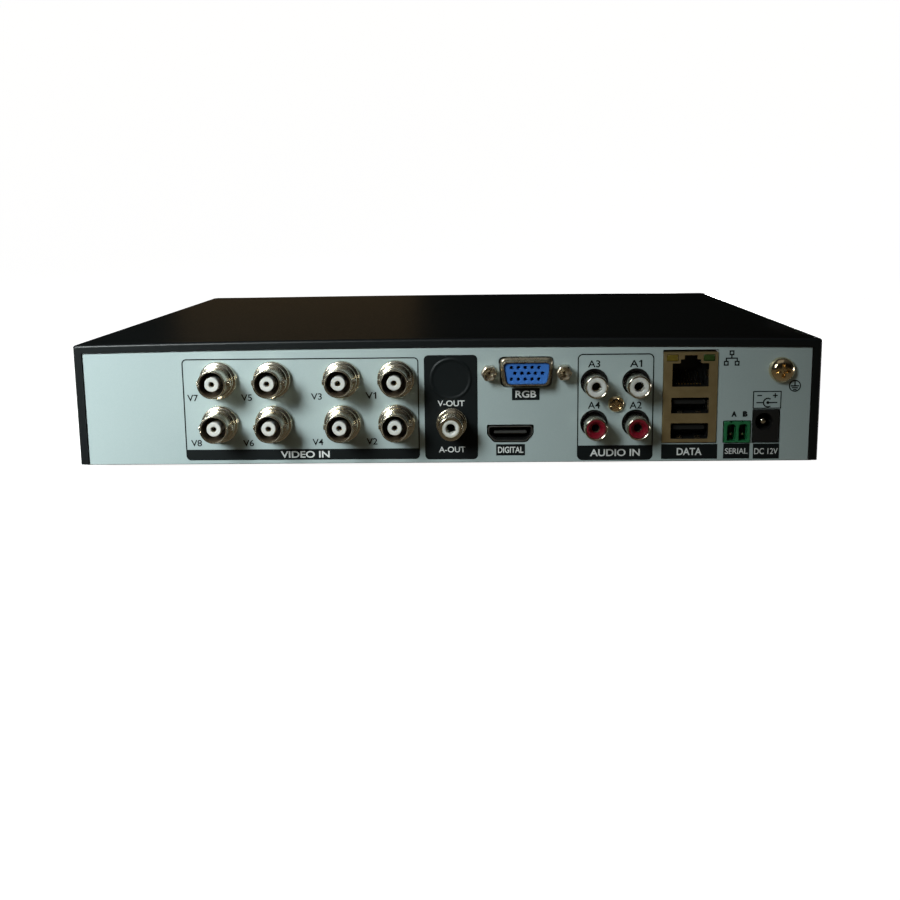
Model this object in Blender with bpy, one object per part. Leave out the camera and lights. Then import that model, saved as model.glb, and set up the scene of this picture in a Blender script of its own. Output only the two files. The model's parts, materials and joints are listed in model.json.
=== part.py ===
"""A small desktop video recorder: a sheet-metal case, a moulded front with keys, and a rear panel of sockets.

Every length below is in millimetres, and MM turns it into Blender's metres. The frame has +X to the right as
the front is seen, +Y towards the rear panel and +Z up, with the feet standing on Z = 0. Places on the rear
panel are given as they are seen from behind, so behind() turns them round.
"""

import math

import bmesh
import bpy
from mathutils import Matrix

MM = 0.001

# Driving dimensions
CASE_WIDTH = 251.4
CASE_HEIGHT = 41.5
COVER_LENGTH = 218.0
SHEET = 0.8
GAP = 0.3
FOOT_HEIGHT = 3.0
BEZEL_WIDTH = 252.4
BEZEL_DEPTH = 20.0
BEZEL_WALL = 2.6
KEY_PROUD = 1.3
JACK_REACH = 12.8
LIP_WIDTH = 2.9
COVER_BEND = 1.1

# Levels and depths that follow from them
BASE_Z = FOOT_HEIGHT
TOP_Z = BASE_Z + CASE_HEIGHT
LENGTH = KEY_PROUD + BEZEL_DEPTH + GAP + COVER_LENGTH - GAP - SHEET + JACK_REACH
FACE_Y = KEY_PROUD - LENGTH / 2
COVER_FRONT = FACE_Y + BEZEL_DEPTH + GAP
COVER_REAR = COVER_FRONT + COVER_LENGTH
PANEL_Y = COVER_REAR - GAP - SHEET
LABEL_THICKNESS = 0.3
SEAT = 2 * GAP + LABEL_THICKNESS
HALF_INSIDE = CASE_WIDTH / 2 - SHEET - 2 * GAP
FLANGE_HEIGHT = 15.0
BOARD_TOP = BASE_Z + 6.2
BOARD_THICKNESS = 1.6
ON_BOARD = BOARD_TOP + GAP
BOARD_X = (-117.0, 86.0)
BOARD_FRONT = PANEL_Y - 78.0
FRONT_WALL_TOP = BASE_Z + 22.0
DATA_HEADER_X = 52.0
POWER_HEADER_X = 72.0
KEY_CABLE_X = 112.0
DISK_X = (-112.0, 35.0)
DISK_Y = (-92.0, 9.6)
DISK_THICKNESS = 26.1

# Front face, as the front is seen
FACE_BOTTOM = 2.5
FACE_TOP = 41.6
FACE_MIDDLE = 22.2
EDGE_ROUND = 2.0
SIDE_ROUND = 1.5
FOOT_ROUND = 1.0
BEZEL_CORNER = 2.5
BEZEL_INSET = 2.2
REAR_BAND = 1.5
WINDOW = {"x": 4.3, "z": FACE_MIDDLE, "width": 156.0, "height": 12.6}
WINDOW_RECESS = 1.8
GROOVE_CENTRE_X = -65.9
GROOVE_RADIUS = 16.7
GROOVE_WIDTH = 1.2
GROOVE_DEPTH = 0.5
SIDE_KEY_SIZE = (11.2, 6.0)
SIDE_KEYS = {"esc_key": (75.8, 33.5), "menu_key": (75.8, 11.6)}
PAD_X, PAD_Z, PAD_RADIUS = 99.5, 22.5, 14.0
PAD_RING = (4.4, 5.75)
PAD_RIB = 1.2
KEY_CLEARANCE = 0.35
KEY_TRAVEL = 0.6
KEY_FLANGE = 0.8
PLUNGER_Y = 5.0
KEY_BOARD_Y = 9.0
ARROW_SWITCH = 9.8
LAMP_SLOT = {"x": 43.0, "width": 46.0, "height": 7.0}
HOOK_X = (-108.0, -38.0, 38.0, 108.0)
HOOK_Z = (5.2, 7.8)
HOOK_SLOT_Z = (4.4, 8.2)
INDICATORS = {"alarm_led": 38.5, "rec_led": 48.4, "power_led": 58.4}
IR_X = 26.3

# Rear panel: x to the right as seen from behind, z up from the case's bottom
JACK_COLUMNS = (-76.6, -58.3, -34.8, -16.4)
JACK_ROWS = (29.2, 14.2)
LUG_Y = 8.6
PHONO_OUT = (2.1, 13.8)
SPARE_HOLE = (2.0, 28.9, 6.6)
PHONO_COLUMNS = (50.3, 64.3)
PHONO_ROWS = (26.8, 12.8)
PHONO_HOLE_RISE = 0.5
PHONO_REACH = 9.4
PHONO_OUT_REACH = 12.0
PHONO_SCREW = (57.6, 20.0)
DISPLAY_PORT = (27.4, 31.1)
DISPLAY_SCREW_SPACING = 25.0
DIGITAL_PORT = (22.0, 10.1)
STACK = {"x": 82.3, "z": 22.2, "width": 17.8, "height": 31.2}
BUS_OPENING = {"width": 12.5, "height": 5.0, "rows": (-2.75, -11.4)}
STACK_LAMP = {"x": 6.1, "z": 13.2, "width": 3.8, "height": 2.4}
TERMINAL = {"x": 98.4, "z": 10.1, "width": 8.8, "height": 7.2}
POWER = {"x": 108.1, "z": 12.0, "width": 8.8, "height": 11.0}
POWER_BORE = {"x": 0.7, "z": 1.5, "radius": 2.9}
GROUND = (112.5, 31.1)
HOLE_KINDS = ("jack", "phono", "phono_out", "small_screw", "ground_screw", "block")
SHEET_HOLES = dict(zip(HOLE_KINDS, (4.9, 4.7, 4.3, 1.9, 2.3, 0.3)))
LABEL_HOLES = dict(zip(HOLE_KINDS, (5.6, 4.7, 4.7, 2.0, 2.3, 0.3)))
COVER_SCREW_Y = (-78.0, 82.0)
COVER_SCREW_Z = 11.0
COVER_SCREW_HOLE = 1.9
VENT_COUNT = 14
VENT_START = -20.0
VENT_PITCH = 5.0
VENT_Z = 25.0
VENT_SIZE = (16.0, 2.2)

MATERIALS = {
    "black_paint": ((0.012, 0.013, 0.014), 0.45, 0.0),
    "zinc_sheet": ((0.55, 0.56, 0.57), 0.4, 0.9),
    "panel_print": ((0.56, 0.66, 0.68), 0.5, 0.0),
    "black_plastic": ((0.02, 0.024, 0.025), 0.5, 0.0),
    "smoked_window": ((0.015, 0.018, 0.02), 0.25, 0.0),
    "nickel": ((0.62, 0.6, 0.56), 0.25, 1.0),
    "gold_nickel": ((0.83, 0.66, 0.42), 0.22, 1.0),
    "tin_shield": ((0.62, 0.52, 0.4), 0.35, 1.0),
    "blue_plastic": ((0.1, 0.3, 0.75), 0.45, 0.0),
    "green_plastic": ((0.05, 0.36, 0.16), 0.45, 0.0),
    "circuit_board": ((0.02, 0.2, 0.08), 0.5, 0.0),
    "aluminium": ((0.7, 0.7, 0.72), 0.35, 1.0),
    "rubber": ((0.02, 0.02, 0.02), 0.85, 0.0),
    "lamp": ((0.75, 0.75, 0.72), 0.3, 0.0),
    "red_cable": ((0.6, 0.05, 0.04), 0.5, 0.0),
    "grey_cable": ((0.6, 0.6, 0.6), 0.5, 0.0),
}


# Outlines: closed lists of (x, z) points


def circle(radius, steps=16, x=0.0, z=0.0):
    turns = [2 * math.pi * i / steps for i in range(steps)]
    return [(x + radius * math.cos(a), z + radius * math.sin(a)) for a in turns]


def arc(radius, start, end, steps, x=0.0, z=0.0):
    """Points from one angle to another, in degrees, both ends included."""
    angles = [math.radians(start + (end - start) * i / steps) for i in range(steps + 1)]
    return [(x + radius * math.cos(a), z + radius * math.sin(a)) for a in angles]


def rectangle(width, height, x=0.0, z=0.0):
    w, h = width / 2, height / 2
    return [(x - w, z - h), (x + w, z - h), (x + w, z + h), (x - w, z + h)]


def rounded_rectangle(width, height, radius, x=0.0, z=0.0, steps=3):
    w, h = width / 2 - radius, height / 2 - radius
    corners = ((w, h, 0), (-w, h, 90), (-w, -h, 180), (w, -h, 270))
    return [
        point
        for cx, cz, start in corners
        for point in arc(radius, start, start + 90, steps, x + cx, z + cz)
    ]


def racetrack(width, height, x=0.0, z=0.0, steps=6):
    """A slot with round ends, along x."""
    radius, reach = height / 2, (width - height) / 2
    return arc(radius, -90, 90, steps, x + reach, z) + arc(radius, 90, 270, steps, x - reach, z)


def d_shape(width, height, x=0.0, z=0.0, taper=0.7):
    """The outline of a D-shaped socket, wider at the top, with its corners cut."""
    w, h, corner = width / 2, height / 2, 1.2
    half = [(w - taper - corner, -h), (w - taper, corner - h), (w, h - corner), (w - corner, h)]
    return [(x + a, z + b) for a, b in half] + [(x - a, z + b) for a, b in reversed(half)]


def hooded_shape(width, height, x=0.0, z=0.0, foot=0.7):
    """The outline of a flat digital video socket: a wide top, and sides that slope in to a narrower foot."""
    w, h = width / 2, height / 2
    half = [(w * foot, -h), (w, -h * 0.15), (w, h)]
    return [(x + a, z + b) for a, b in half] + [(x - a, z + b) for a, b in reversed(half)]


def cross(reach, arm):
    """A plus sign, for the drive of a screw."""
    quarter = [(reach, -arm), (reach, arm), (arm, arm)]
    points = []
    for turn in range(4):
        c, s = round(math.cos(turn * math.pi / 2)), round(math.sin(turn * math.pi / 2))
        points += [(c * x - s * z, s * x + c * z) for x, z in quarter]
    return points


def sector(inner, outer, margin, steps=(8, 5)):
    """A quarter of a ring pointing up, kept back by margin from the two diagonals beside it."""
    points = []
    for radius, count, way in ((outer, steps[0], 1), (inner, steps[1], -1)):
        open_angle = 45 - math.degrees(math.asin(margin / radius))
        points += arc(radius, 90 - way * open_angle, 90 + way * open_angle, count)
    return points


# Solids: bmeshes in millimetres


def prism(outline, front, back, holes=()):
    """A plate between two depths along Y."""
    bm = bmesh.new()
    edges = []
    for loop in (outline, *holes):
        verts = [bm.verts.new((x, front, z)) for x, z in loop]
        edges += [bm.edges.new((verts[i - 1], verts[i])) for i in range(len(verts))]
    bmesh.ops.triangle_fill(bm, use_beauty=True, edges=edges)
    made = bmesh.ops.extrude_face_region(bm, geom=bm.faces[:])
    far = [v for v in made["geom"] if isinstance(v, bmesh.types.BMVert)]
    bmesh.ops.translate(bm, vec=(0, back - front, 0), verts=far)
    bmesh.ops.recalc_face_normals(bm, faces=bm.faces)
    return bm


def box(x, y, z):
    """A block from three (low, high) pairs."""
    outline = [(x[0], z[0]), (x[1], z[0]), (x[1], z[1]), (x[0], z[1])]
    return lofted([[(a, depth, b) for a, b in outline] for depth in y])


def lofted(rings):
    """A closed solid through rings of equally many points. A ring of one point is a tip."""
    bm = bmesh.new()
    made = [[bm.verts.new(point) for point in ring] for ring in rings]
    for near, far in zip(made, made[1:]):
        count = max(len(near), len(far))
        for i in range(count):
            j = (i + 1) % count
            corners = [near[i % len(near)], near[j % len(near)], far[j % len(far)], far[i % len(far)]]
            bm.faces.new(list(dict.fromkeys(corners)))
    for ring in (made[0], made[-1]):
        if len(ring) > 2:
            bm.faces.new(ring)
    bmesh.ops.recalc_face_normals(bm, faces=bm.faces)
    return bm


def along_y(outlines):
    """A solid through (outline, depth) pairs."""
    return lofted([[(x, depth, z) for x, z in outline] for outline, depth in outlines])


def turned(profile, steps=16):
    """A solid turned about Y from (radius, depth) points, from one end of the axis to the other."""
    return along_y([(circle(r, steps) if r else [(0.0, 0.0)], depth) for r, depth in profile])


def moved(bm, x=0.0, y=0.0, z=0.0):
    bmesh.ops.translate(bm, vec=(x, y, z), verts=bm.verts)
    return bm


def spun(bm, degrees, axis="Z"):
    """Turned about an axis through the origin."""
    bmesh.ops.transform(bm, matrix=Matrix.Rotation(math.radians(degrees), 4, axis), verts=bm.verts)
    return bm


def grouped(*solids):
    """Several separate solids as one bmesh, to join or cut with in one step."""
    group = bmesh.new()
    for solid in solids:
        held = bpy.data.meshes.new("held")
        solid.to_mesh(held)
        group.from_mesh(held)
        solid.free()
        bpy.data.meshes.remove(held)
    return group


def combined(body, tool, operation):
    """body with tool joined to it (UNION) or cut out of it (DIFFERENCE)."""
    held = []
    for bm in (body, tool):
        mesh = bpy.data.meshes.new("held")
        bm.to_mesh(mesh)
        bm.free()
        held.append(bpy.data.objects.new("held", mesh))
        bpy.context.scene.collection.objects.link(held[-1])
    modifier = held[0].modifiers.new("combine", "BOOLEAN")
    modifier.operation = operation
    modifier.object = held[1]
    graph = bpy.context.evaluated_depsgraph_get()
    result = bpy.data.meshes.new_from_object(held[0].evaluated_get(graph))
    bm = bmesh.new()
    bm.from_mesh(result)
    bpy.data.meshes.remove(result)
    for obj in held:
        mesh = obj.data
        bpy.data.objects.remove(obj)
        bpy.data.meshes.remove(mesh)
    return bm


def joined(body, *tools):
    for tool in tools:
        body = combined(body, tool, "UNION")
    return body


def cut(body, *tools):
    for tool in tools:
        body = combined(body, tool, "DIFFERENCE")
    return body


# Objects


def material(name):
    if name in bpy.data.materials:
        return bpy.data.materials[name]
    colour, roughness, metallic = MATERIALS[name]
    made = bpy.data.materials.new(name)
    made.use_nodes = True
    shader = made.node_tree.nodes["Principled BSDF"]
    shader.inputs["Base Color"].default_value = (*colour, 1.0)
    shader.inputs["Roughness"].default_value = roughness
    shader.inputs["Metallic"].default_value = metallic
    return made


def mesh_from(bm, name, material_name):
    """The bmesh as a mesh in metres, smooth except at its sharp edges."""
    for vertex in bm.verts:
        vertex.co *= MM
    mesh = bpy.data.meshes.new(name)
    bm.to_mesh(mesh)
    bm.free()
    mesh.materials.clear()
    mesh.materials.append(material(material_name))
    mesh.shade_smooth()
    mesh.set_sharp_from_angle(angle=math.radians(35))
    return mesh


def place(name, mesh, at=(0.0, 0.0, 0.0), turn=0.0):
    """One named object, with its origin at a place in millimetres and turned about Z by degrees."""
    obj = bpy.data.objects.new(name, mesh)
    obj.location = [value * MM for value in at]
    obj.rotation_euler[2] = math.radians(turn)
    bpy.context.scene.collection.objects.link(obj)
    return obj


def add(name, bm, material_name, at=(0.0, 0.0, 0.0)):
    return place(name, mesh_from(bm, name, material_name), at)


def behind(x, z):
    """A place on the rear panel, given as seen from behind, in the recorder's X and Z."""
    return -x, BASE_Z + z


def rear_pattern(sizes):
    """Outlines of the rear panel's cut-outs, with the size of each kind from a dictionary."""
    holes = []
    for column in JACK_COLUMNS:
        for row in JACK_ROWS:
            holes.append(circle(sizes["jack"], 12, *behind(column, row)))
    for column in PHONO_COLUMNS:
        for row in PHONO_ROWS:
            holes.append(circle(sizes["phono"], 16, *behind(column, row + PHONO_HOLE_RISE)))
    holes.append(circle(sizes["phono_out"], 12, *behind(*PHONO_OUT)))
    holes.append(circle(sizes["small_screw"], 8, *behind(*PHONO_SCREW)))
    holes.append(circle(sizes["ground_screw"], 10, *behind(*GROUND)))
    x, z = behind(*DISPLAY_PORT)
    holes.append(d_shape(19.0, 10.6, x, z, taper=0.9))
    for side in (-1, 1):
        holes.append(circle(2.0, 8, x + side * DISPLAY_SCREW_SPACING / 2, z))
    holes.append(hooded_shape(16.0, 6.3, *behind(*DIGITAL_PORT)))
    for block in (STACK, TERMINAL, POWER):
        margin = 2 * sizes["block"]
        holes.append(
            rectangle(block["width"] + margin, block["height"] + margin, *behind(block["x"], block["z"]))
        )
    return holes


# Casing


def base_chassis():
    """The bent tray: floor, front wall, two side flanges and the rear panel with its cut-outs."""
    front = COVER_FRONT + 1.0
    wall_top, panel_top = FRONT_WALL_TOP, TOP_Z - SHEET - GAP
    low, high = BASE_Z, BASE_Z + SHEET
    section = [
        (front, low), (PANEL_Y, low), (PANEL_Y, panel_top), (PANEL_Y - SHEET, panel_top),
        (PANEL_Y - SHEET, high), (front + SHEET, high), (front + SHEET, wall_top), (front, wall_top),
    ]
    half = HALF_INSIDE - SHEET / 2
    tray = lofted([[(x, y, z) for y, z in section] for x in (-half, half)])
    for side in (-1, 1):
        x = sorted((side * HALF_INSIDE, side * (HALF_INSIDE - SHEET)))
        tray = joined(tray, box(x, (front + 0.1, PANEL_Y - 0.1), (low + 0.1, low + FLANGE_HEIGHT)))
    standoffs = [
        moved(spun(turned([(0, 0), (2.4, 0), (2.4, 3.3), (0, 3.3)], 8), 90, "X"), x, y, high - 0.4)
        for x in (-112.0, -14.0, 82.0)
        for y in (PANEL_Y - 14.0, PANEL_Y - 68.0)
    ]
    tray = joined(tray, grouped(*standoffs))
    holes = [prism(hole, PANEL_Y - 2.0, PANEL_Y + 1.0) for hole in rear_pattern(SHEET_HOLES)]
    holes.append(prism(circle(SPARE_HOLE[2], 16, *behind(*SPARE_HOLE[:2])), PANEL_Y - 2.0, PANEL_Y + 1.0))
    holes += [box((x - 4.5, x + 4.5), (front - 1.0, front + 2.0), HOOK_SLOT_Z) for x in HOOK_X]
    return cut(tray, grouped(*holes), grouped(*screw_holes()))


def screw_holes():
    """Cutters for the cover screws, through the cover's sides and the tray's flanges."""
    reach = CASE_WIDTH / 2 + 2.0
    return [
        rod_along_x(COVER_SCREW_HOLE, sorted((side * reach, side * (reach - 6.0))), y, COVER_SCREW_Z)
        for side in (-1, 1)
        for y in COVER_SCREW_Y
    ]


def rod_along_x(radius, x, y, z):
    """A round rod between two x."""
    return lofted([[(depth, y + a, z + b) for a, b in circle(radius, 10)] for depth in x])


def cover_section(inset, radius):
    """Half of the cover's U, from the bottom of one side round to the bottom of the other."""
    half, top = CASE_WIDTH / 2 - inset, TOP_Z - inset
    low = BASE_Z + GAP
    left = arc(radius, 180, 90, 4, radius - half, top - radius)
    right = arc(radius, 90, 0, 4, half - radius, top - radius)
    return [(-half, low), *left, *right, (half, low)]


def top_cover():
    """The U-shaped lid, with a lip turned in round the rear panel and vent slots in both sides."""
    outer, inner = cover_section(0.0, COVER_BEND), cover_section(SHEET, COVER_BEND - SHEET)
    lid = prism(outer + inner[::-1], COVER_FRONT, COVER_REAR)
    half, low = CASE_WIDTH / 2 - LIP_WIDTH, BASE_Z + GAP
    opening = [(-half, low), (-half, TOP_Z - LIP_WIDTH), (half, TOP_Z - LIP_WIDTH), (half, low)]
    lip = cover_section(0.2, COVER_BEND - 0.2) + opening[::-1]
    lid = joined(lid, prism(lip, COVER_REAR - SHEET, COVER_REAR - 0.001))
    slot = racetrack(*VENT_SIZE, steps=3)
    slots = []
    for side in (-1, 1):
        x = sorted((side * (CASE_WIDTH / 2 + 2.0), side * (CASE_WIDTH / 2 - 4.0)))
        for i in range(VENT_COUNT):
            y = VENT_START + i * VENT_PITCH
            slots.append(lofted([[(d, y + b, VENT_Z + a) for a, b in slot] for d in x]))
    return cut(lid, grouped(*slots), grouped(*screw_holes()))


def rear_label():
    """The printed plastic sheet on the rear panel. It covers the spare hole."""
    half, low, high = CASE_WIDTH / 2 - LIP_WIDTH - GAP, BASE_Z + GAP, TOP_Z - LIP_WIDTH - GAP
    outline = rectangle(2 * half, high - low, 0.0, (low + high) / 2)
    return prism(outline, PANEL_Y + GAP, PANEL_Y + GAP + LABEL_THICKNESS, rear_pattern(LABEL_HOLES))


def rounding(radius, depth):
    """How far an edge of that radius stands back at a depth behind the face."""
    if depth >= radius:
        return 0.0
    return radius - math.sqrt(radius**2 - (radius - depth) ** 2)


def bezel_outline(depth, inset=0.0):
    """The front moulding's outline at a depth: round at the front, and rising to the cover's top."""
    half = BEZEL_WIDTH / 2 - rounding(SIDE_ROUND, depth) - inset
    low = FACE_BOTTOM + rounding(FOOT_ROUND, depth) + inset
    slope = (depth - EDGE_ROUND) / (BEZEL_DEPTH - EDGE_ROUND - REAR_BAND)
    rise = (TOP_Z - FACE_TOP) * max(0.0, min(1.0, slope))
    high = FACE_TOP + rise - rounding(EDGE_ROUND, depth) - inset
    radius = BEZEL_CORNER - min(inset, 2.0)
    return rounded_rectangle(2 * half, high - low, radius, 0.0, (low + high) / 2)


def groove():
    """A shallow channel along the top, round the left end and back along the bottom, open at the right."""
    outer, inner = GROOVE_RADIUS + GROOVE_WIDTH / 2, GROOVE_RADIUS - GROOVE_WIDTH / 2
    x, z, end = GROOVE_CENTRE_X, FACE_MIDDLE, BEZEL_WIDTH / 2 + 2.0
    way_out = [(end, z + outer), *arc(outer, 90, 270, 16, x, z), (end, z - outer)]
    way_back = [(end, z - inner), *arc(inner, 270, 90, 16, x, z), (end, z + inner)]
    return prism(way_out + way_back, FACE_Y - 1.0, FACE_Y + GROOVE_DEPTH)


def front_bezel():
    """The hollow front moulding, with a window recess, key openings, the pad's ring and four hooks."""
    depths = (0.0, 0.4, 1.0, 1.5, EDGE_ROUND, BEZEL_DEPTH - REAR_BAND, BEZEL_DEPTH)
    body = along_y([(bezel_outline(depth), FACE_Y + depth) for depth in depths])
    inside = (BEZEL_WALL, BEZEL_DEPTH - REAR_BAND, BEZEL_DEPTH + 1.0)
    hollow = along_y([(bezel_outline(depth, BEZEL_INSET), FACE_Y + depth) for depth in inside])
    window = racetrack(WINDOW["width"], WINDOW["height"], WINDOW["x"], WINDOW["z"])
    recess = prism(window, FACE_Y - 1.0, FACE_Y + WINDOW_RECESS)
    lamps = racetrack(LAMP_SLOT["width"], LAMP_SLOT["height"], LAMP_SLOT["x"], WINDOW["z"])
    lamp_slot = prism(lamps, FACE_Y, FACE_Y + BEZEL_WALL + 1.0)
    hole_depths = (FACE_Y - 1.0, FACE_Y + BEZEL_WALL + 1.0)
    width, height = (size + 2 * KEY_CLEARANCE for size in SIDE_KEY_SIZE)
    holes = [prism(racetrack(width, height, *at), *hole_depths) for at in SIDE_KEYS.values()]
    holes.append(prism(circle(PAD_RING[0], 16, PAD_X, PAD_Z), *hole_depths))
    for turn in range(4):
        opening = sector(PAD_RING[1], PAD_RADIUS, PAD_RIB / 2)
        holes.append(moved(spun(prism(opening, *hole_depths), 90 * turn, "Y"), PAD_X, 0.0, PAD_Z))
    pad, ring = circle(PAD_RADIUS, 32, PAD_X, PAD_Z), circle(PAD_RING[1], 16, PAD_X, PAD_Z)
    rib_recess = prism(pad, FACE_Y - 1.0, FACE_Y + 1.2, [ring])
    body = cut(body, hollow, recess, lamp_slot, groove(), grouped(*holes), rib_recess)
    hooks = []
    for x in HOOK_X:
        reach = (FACE_Y + BEZEL_WALL - 1.0, COVER_FRONT + 4.0)
        hooks.append(joined(
            box((x - 3.5, x + 3.5), reach, (HOOK_Z[0], HOOK_Z[0] + 1.5)),
            box((x - 3.4, x + 3.4), (reach[1] - 1.6, reach[1] + 0.4), (HOOK_Z[0] + 0.4, HOOK_Z[1])),
        ))
    bosses = [
        box((x - 2.0, x + 2.0), (FACE_Y + BEZEL_WALL - 1.0, FACE_Y + KEY_BOARD_Y - GAP), (z - 2.0, z + 2.0))
        for x, z in ((16.0, 34.5), (16.0, 9.5), (119.0, 34.5), (119.0, 9.5))
    ]
    return joined(body, grouped(*hooks, *bosses))


def display_lens():
    outline = racetrack(WINDOW["width"] - 0.8, WINDOW["height"] - 0.8, WINDOW["x"], WINDOW["z"])
    return prism(outline, FACE_Y + 0.6, FACE_Y + WINDOW_RECESS - GAP)


def foot():
    """A moulded rubber foot, standing on its own origin."""
    top = FOOT_HEIGHT - GAP
    return spun(turned([(0, 0), (5.0, 0), (6.2, 1.0), (6.2, top), (0, top)], 16), 90, "X")


# Keys, each with its origin on its slide axis at the front face


def side_key():
    """A flat oval key with a crowned top, a flange behind the front wall and a short stem."""
    width, height = SIDE_KEY_SIZE
    flange_front = BEZEL_WALL + GAP
    flange_back = flange_front + KEY_FLANGE
    return along_y([
        (racetrack(width - 2.4, height - 2.4), -KEY_PROUD),
        (racetrack(width - 0.9, height - 0.9), 0.35 - KEY_PROUD),
        (racetrack(width, height), 1.0 - KEY_PROUD),
        (racetrack(width, height), flange_front),
        (racetrack(width + 1.6, height + 1.6), flange_front),
        (racetrack(width + 1.6, height + 1.6), flange_back),
        (racetrack(3.0, 2.6), flange_back),
        (racetrack(3.0, 2.6), PLUNGER_Y - KEY_TRAVEL - 0.1),
    ])


def arrow_key():
    """A quarter of the pad's ring, pointing up, before it is turned to its side."""
    margin = PAD_RIB / 2 + KEY_CLEARANCE
    inner, outer = PAD_RING[1] + KEY_CLEARANCE, PAD_RADIUS - 0.5
    flange_front = BEZEL_WALL + GAP
    flange_back = flange_front + KEY_FLANGE
    flange = sector(inner - 0.8, outer + 1.0, margin - 0.5)
    points = len(flange)
    stem = circle(1.5, points, 0.0, ARROW_SWITCH)
    stem = stem[4:] + stem[:4]
    return along_y([
        (sector(inner + 1.1, outer - 1.4, margin + 0.9), -KEY_PROUD),
        (sector(inner + 0.3, outer - 0.4, margin + 0.3), 0.5 - KEY_PROUD),
        (sector(inner, outer, margin), 1.1 - KEY_PROUD),
        (sector(inner, outer, margin), flange_front),
        (flange, flange_front),
        (flange, flange_back),
        (stem, flange_back),
        (stem, PLUNGER_Y - KEY_TRAVEL - 0.1),
    ])


def centre_key():
    flange_front = BEZEL_WALL + GAP
    flange_back = flange_front + KEY_FLANGE
    stem_end = PLUNGER_Y - KEY_TRAVEL - 0.1
    radius = PAD_RING[0] - KEY_CLEARANCE
    profile = [
        (0, 0.2 - KEY_PROUD), (radius - 1.3, -KEY_PROUD), (radius - 0.4, 0.35 - KEY_PROUD),
        (radius, 1.0 - KEY_PROUD), (radius, flange_front), (radius + 0.6, flange_front),
        (radius + 0.6, flange_back), (1.5, flange_back), (1.5, stem_end), (0, stem_end),
    ]
    return turned(profile, 20)


# Electronics behind the front


def switch_places():
    places = [*SIDE_KEYS.values(), (PAD_X, PAD_Z)]
    for dx, dz in ((0, 1), (0, -1), (-1, 0), (1, 0)):
        places.append((PAD_X + dx * ARROW_SWITCH, PAD_Z + dz * ARROW_SWITCH))
    return places


def key_board():
    """The board behind the keys, with one small switch under each key's stem."""
    front = FACE_Y + KEY_BOARD_Y
    board = prism(rounded_rectangle(109.0, 29.0, 2.0, 67.0, 22.5), front, front + BOARD_THICKNESS)
    switches = []
    for x, z in switch_places():
        switches.append(joined(
            box((x - 2.6, x + 2.6), (FACE_Y + PLUNGER_Y + 0.9, front + 0.5), (z - 2.6, z + 2.6)),
            moved(turned([(0, 0), (1.4, 0), (1.4, 1.6), (0, 1.6)], 8), x, FACE_Y + PLUNGER_Y, z),
        ))
    return joined(board, grouped(*switches))


def lamp():
    """A round indicator lamp, with its origin at its flat back."""
    return turned([(0, 0), (1.9, 0), (1.9, -0.9), (1.5, -0.9), (1.5, -4.2), (0.9, -5.0), (0, -5.3)], 12)


def infrared_receiver():
    """A remote control receiver: a small block with a round lens on its front."""
    lens = turned([(0, 0), (2.2, 0), (2.2, -2.6), (1.4, -3.4), (0, -3.7)], 12)
    return joined(box((-3.0, 3.0), (-2.6, 0.0), (-3.4, 3.4)), moved(lens, 0.0, -1.6, 0.0))


# Sockets, each with its origin on the rear panel's outer face


def coaxial_jack():
    """A bayonet video jack: collar, barrel with two lugs, and the insulator inside it."""
    profile = [
        (0, -9.0), (4.4, -9.0), (4.4, SEAT), (6.3, SEAT), (6.3, 2.6), (5.5, 3.7), (4.75, 3.7),
        (4.75, JACK_REACH - 0.4), (4.5, JACK_REACH), (4.15, JACK_REACH), (4.15, 4.8), (2.4, 4.8),
        (2.4, JACK_REACH - 0.8), (0.8, JACK_REACH - 0.8), (0.8, 7.0), (0, 7.0),
    ]
    lugs = [
        lofted([[(d, LUG_Y + a, b) for a, b in circle(1.0, 8)] for d in sorted((side * 4.5, side * 5.6))])
        for side in (-1, 1)
    ]
    return joined(turned(profile), grouped(*lugs))


def coaxial_housing():
    """The block behind the panel that holds one column's two jacks."""
    middle, top = sum(JACK_ROWS) / 2 + BASE_Z, TOP_Z - 4.0
    holes = [circle(4.75, 12, 0.0, BASE_Z + row) for row in JACK_ROWS]
    outline = rectangle(13.6, 2 * min(middle - ON_BOARD, top - middle), 0.0, middle)
    return prism(outline, PANEL_Y - 11.0, PANEL_Y - SHEET - GAP, holes)


def phono_jack(reach, collar=()):
    """A phono socket that stands out of the panel by reach."""
    profile = [
        (0, -8.0), (3.8, -8.0), (3.8, SEAT), *collar, (3.95, 2.7), (3.95, reach - 0.3), (3.7, reach),
        (3.3, reach), (3.15, reach - 0.6), (1.6, reach - 0.6), (1.6, 1.5), (0, 1.5),
    ]
    return turned(profile)


def phono_block():
    """The plastic block behind the panel that holds four phono sockets."""
    x, z = behind(*PHONO_SCREW)
    holes = [circle(4.2, 12, *behind(a, b)) for a in PHONO_COLUMNS for b in PHONO_ROWS]
    holes.append(circle(1.8, 8, x, z))
    outline = rectangle(26.5, 2 * (z - ON_BOARD), x, z)
    return prism(outline, PANEL_Y - 10.0, PANEL_Y - SHEET - GAP, holes)


def display_shell():
    """The D-shaped metal shell of the analogue display socket, on its mounting flange."""
    back = -SHEET - GAP
    side = DISPLAY_SCREW_SPACING / 2
    tube = prism(d_shape(16.6, 8.2), back - 0.6, 5.6)
    root = prism(d_shape(18.0, 9.6, taper=0.8), back - 0.5, 1.3)
    holes = [circle(1.9, 8, -side), circle(1.9, 8, side)]
    flange = prism(rounded_rectangle(31.0, 12.4, 2.0), back - 1.0, back, holes)
    return cut(joined(tube, root, flange), prism(d_shape(15.6, 7.2, taper=0.6), -4.0, 7.0))


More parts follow.
